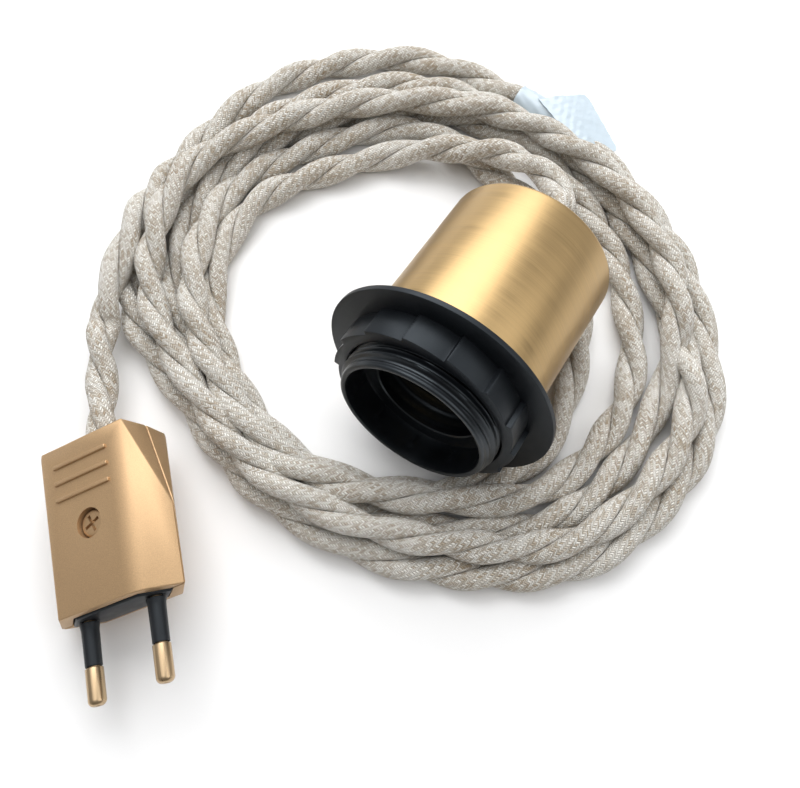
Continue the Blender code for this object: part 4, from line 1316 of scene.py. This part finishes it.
class PENDANT_OT_plug_pins(bpy.types.Operator):
    """Turns the plug's pins and their plastic sleeves, and shapes the pin carrier and the screw"""

    bl_idname = "pendant.plug_pins"
    bl_label = "Plug pins"

    def execute(self, context):
        settings = context.scene.pendant_plug
        tip_look = brushed_metal("pin_brass_look", (0.56, 0.41, 0.25), plug_frame, 0.3)
        sleeve_look = moulded_plastic("sleeve_plastic_look", (0.012, 0.0125, 0.014))
        splay = math.atan2((PIN_TIP_GAP - PIN_BASE_GAP) / 2, PIN_LENGTH)
        for name, side in (("left", -1), ("right", 1)):
            turn = Matrix.Rotation(-math.pi / 2 + side * splay, 4, "Z")
            place = plug_frame @ Matrix.Translation((side * PIN_BASE_GAP / 2, 0, 0)) @ turn
            pin = turned("pin_" + name, pin_outline(), 40)
            finish_piece(pin, place, tip_look, "holder", "contact_brass", "plug_pin_" + name)
            sleeve = turned("sleeve_" + name, sleeve_outline(), 40)
            finish_piece(sleeve, place, sleeve_look, "holder", "black_plastic", "pin_sleeve_" + name)
        carrier = pin_carrier()
        finish_piece(carrier, plug_frame, sleeve_look, "holder", "black_plastic", "pin_carrier")
        screw = cover_screw()
        upright = Matrix.Translation((0, PLUG_SCREW_Y, 0)) @ Matrix.Rotation(-math.pi / 2, 4, "Y")
        paint = metallic_paint("screw_paint_look", shade(settings.paint, 0.9))
        finish_piece(screw, plug_frame @ upright, paint, "holder", "copper_gold_paint", "plug_screw")
        return {"FINISHED"}


class PENDANT_OT_inner_pieces(bpy.types.Operator):
    """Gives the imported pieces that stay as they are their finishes"""

    bl_idname = "pendant.inner_pieces"
    bl_label = "Inner pieces"

    def execute(self, context):
        holder = context.scene.pendant_holder
        looks = {
            "black_plastic": moulded_plastic("cap_plastic_look", holder.black, 0.5),
            "insert_ceramic": glazed_ceramic("insert_ceramic_look", (0.72, 0.70, 0.64)),
            "contact_brass": brushed_metal(
                "contact_brass_look", (0.78, 0.58, 0.30), holder_frame, 0.34
            ),
            "plated_steel": brushed_metal("plated_steel_look", (0.60, 0.60, 0.58), plug_frame, 0.36),
            "blue_core": moulded_plastic("blue_core_look", (0.05, 0.16, 0.42), 0.45),
            "brown_core": moulded_plastic("brown_core_look", (0.19, 0.09, 0.04), 0.45),
        }
        nodes = {
            "black_plastic": ["holder_cap", "cord_clamp"],
            "insert_ceramic": ["contact_insert"],
            "contact_brass": ["centre_contact", "side_contact"],
            "plated_steel": ["nipple", "cup_nut", "cap_nut", "grip_screw", "plug_nut"],
            "blue_core": ["holder_core_left", "plug_core_left"],
            "brown_core": ["holder_core_right", "plug_core_right"],
        }
        for side in ("left", "right"):
            nodes["plated_steel"].append("clamp_screw_" + side)
            for place in ("", "plug_"):
                nodes["contact_brass"].append(f"{place}terminal_{side}")
                nodes["plated_steel"].append(f"{place}terminal_{side}_screw")
        for slot, names in nodes.items():
            for name in names:
                mesh = frame["nodes"][name].data
                mesh.materials.clear()
                mesh.materials.append(looks[slot])
        return {"FINISHED"}


def soft_room():
    """A plain room that is bright above and on the window's side and dim on the other."""
    world = bpy.data.worlds.new("soft_room")
    world.use_nodes = True
    tree = world.node_tree
    direction = node(tree, "ShaderNodeTexCoord").outputs["Generated"]
    split = feed(tree, node(tree, "ShaderNodeSeparateXYZ"), {0: direction})
    level = 0.36
    for axis, gain in (("Y", -0.3), ("X", -0.4), ("Z", 0.35)):
        part = math_node(tree, "MULTIPLY", split.outputs[axis], gain)
        level = math_node(tree, "ADD", level, part)
    colour = mix_colour(tree, clamped(tree, level), (0.27, 0.25, 0.225), (0.95, 0.97, 1.0))
    feed(tree, tree.nodes["Background"], {"Color": colour, "Strength": 0.62})
    return world


class PENDANT_OT_stage(bpy.types.Operator):
    """Sets out the pale floor, the soft lights and the camera"""

    bl_idname = "pendant.stage"
    bl_label = "Stage"

    def execute(self, context):
        bpy.ops.mesh.primitive_plane_add(size=4.0, location=(0, 0, 0))
        floor = context.object
        floor.name = "stage_floor"
        material, tree, shader = new_look("stage_paper")
        feed(tree, shader, {"Base Color": (0.93, 0.93, 0.93), "Roughness": 0.9})
        floor.data.materials.append(material)
        context.scene.world = soft_room()
        context.scene.view_settings.view_transform = "Standard"
        for name, place, size, energy in (
            ("window", (-0.46, -0.36, 0.62), 0.8, 7.0),
            ("side", (-0.25, 0.55, 0.6), 0.7, 2.1),
            ("ceiling", (0.0, -0.3, 1.0), 0.9, 3.0),
        ):
            bpy.ops.object.light_add(type="AREA", location=place)
            light = named(name)
            light.data.energy = energy
            light.data.size = size
            light.rotation_euler = (-light.location).to_track_quat("-Z", "Y").to_euler()
        camera = bpy.data.objects.new("photo_camera", bpy.data.cameras.new("photo_camera"))
        camera.data.lens = LENS
        camera.data.sensor_width = SENSOR
        camera.data.sensor_fit = "HORIZONTAL"
        camera.data.clip_start = 0.01
        camera.location = CAMERA_PLACE
        look = Vector(CAMERA_TARGET) - Vector(CAMERA_PLACE)
        camera.rotation_euler = look.to_track_quat("-Z", "Y").to_euler()
        context.scene.collection.objects.link(camera)
        context.scene.camera = camera
        return {"FINISHED"}


class PENDANT_PT_panel(bpy.types.Panel):
    """Lists the pieces and their settings in the sidebar"""

    bl_idname = "PENDANT_PT_panel"
    bl_label = "Pendant light"
    bl_space_type = "VIEW_3D"
    bl_region_type = "UI"
    bl_category = "Pendant"

    def draw(self, context):
        for label, settings in (
            ("Cord", context.scene.pendant_cord),
            ("Holder", context.scene.pendant_holder),
            ("Plug", context.scene.pendant_plug),
        ):
            box = self.layout.box()
            box.label(text=label)
            for key in settings.__annotations__:
                box.prop(settings, key)
        for operator in STEPS:
            self.layout.operator(operator.bl_idname)


GROUPS = {
    "pendant_cord": PENDANT_PG_cord,
    "pendant_holder": PENDANT_PG_holder,
    "pendant_plug": PENDANT_PG_plug,
}
STEPS = (
    PENDANT_OT_plug_covers,
    PENDANT_OT_plug_pins,
    PENDANT_OT_label,
    PENDANT_OT_fibres,
    PENDANT_OT_cord,
    PENDANT_OT_brass_cup,
    PENDANT_OT_shade_ring,
    PENDANT_OT_skirt,
    PENDANT_OT_cord_grip,
    PENDANT_OT_inner_pieces,
    PENDANT_OT_stage,
)


def register():
    for cls in (*GROUPS.values(), *STEPS, PENDANT_PT_panel):
        bpy.utils.register_class(cls)
    for name, group in GROUPS.items():
        setattr(bpy.types.Scene, name, bpy.props.PointerProperty(type=group))


def unregister():
    for name in GROUPS:
        delattr(bpy.types.Scene, name)
    for cls in (PENDANT_PT_panel, *reversed(STEPS), *GROUPS.values()):
        bpy.utils.unregister_class(cls)


def main():
    register()
    bpy.ops.pendant.plug_covers()
    bpy.ops.pendant.plug_pins()
    bpy.ops.pendant.label()
    bpy.ops.pendant.fibres()
    bpy.ops.pendant.cord()
    bpy.ops.pendant.brass_cup()
    bpy.ops.pendant.shade_ring()
    bpy.ops.pendant.skirt()
    bpy.ops.pendant.cord_grip()
    bpy.ops.pendant.inner_pieces()
    bpy.ops.pendant.stage()


if __name__ == "__main__":
    main()
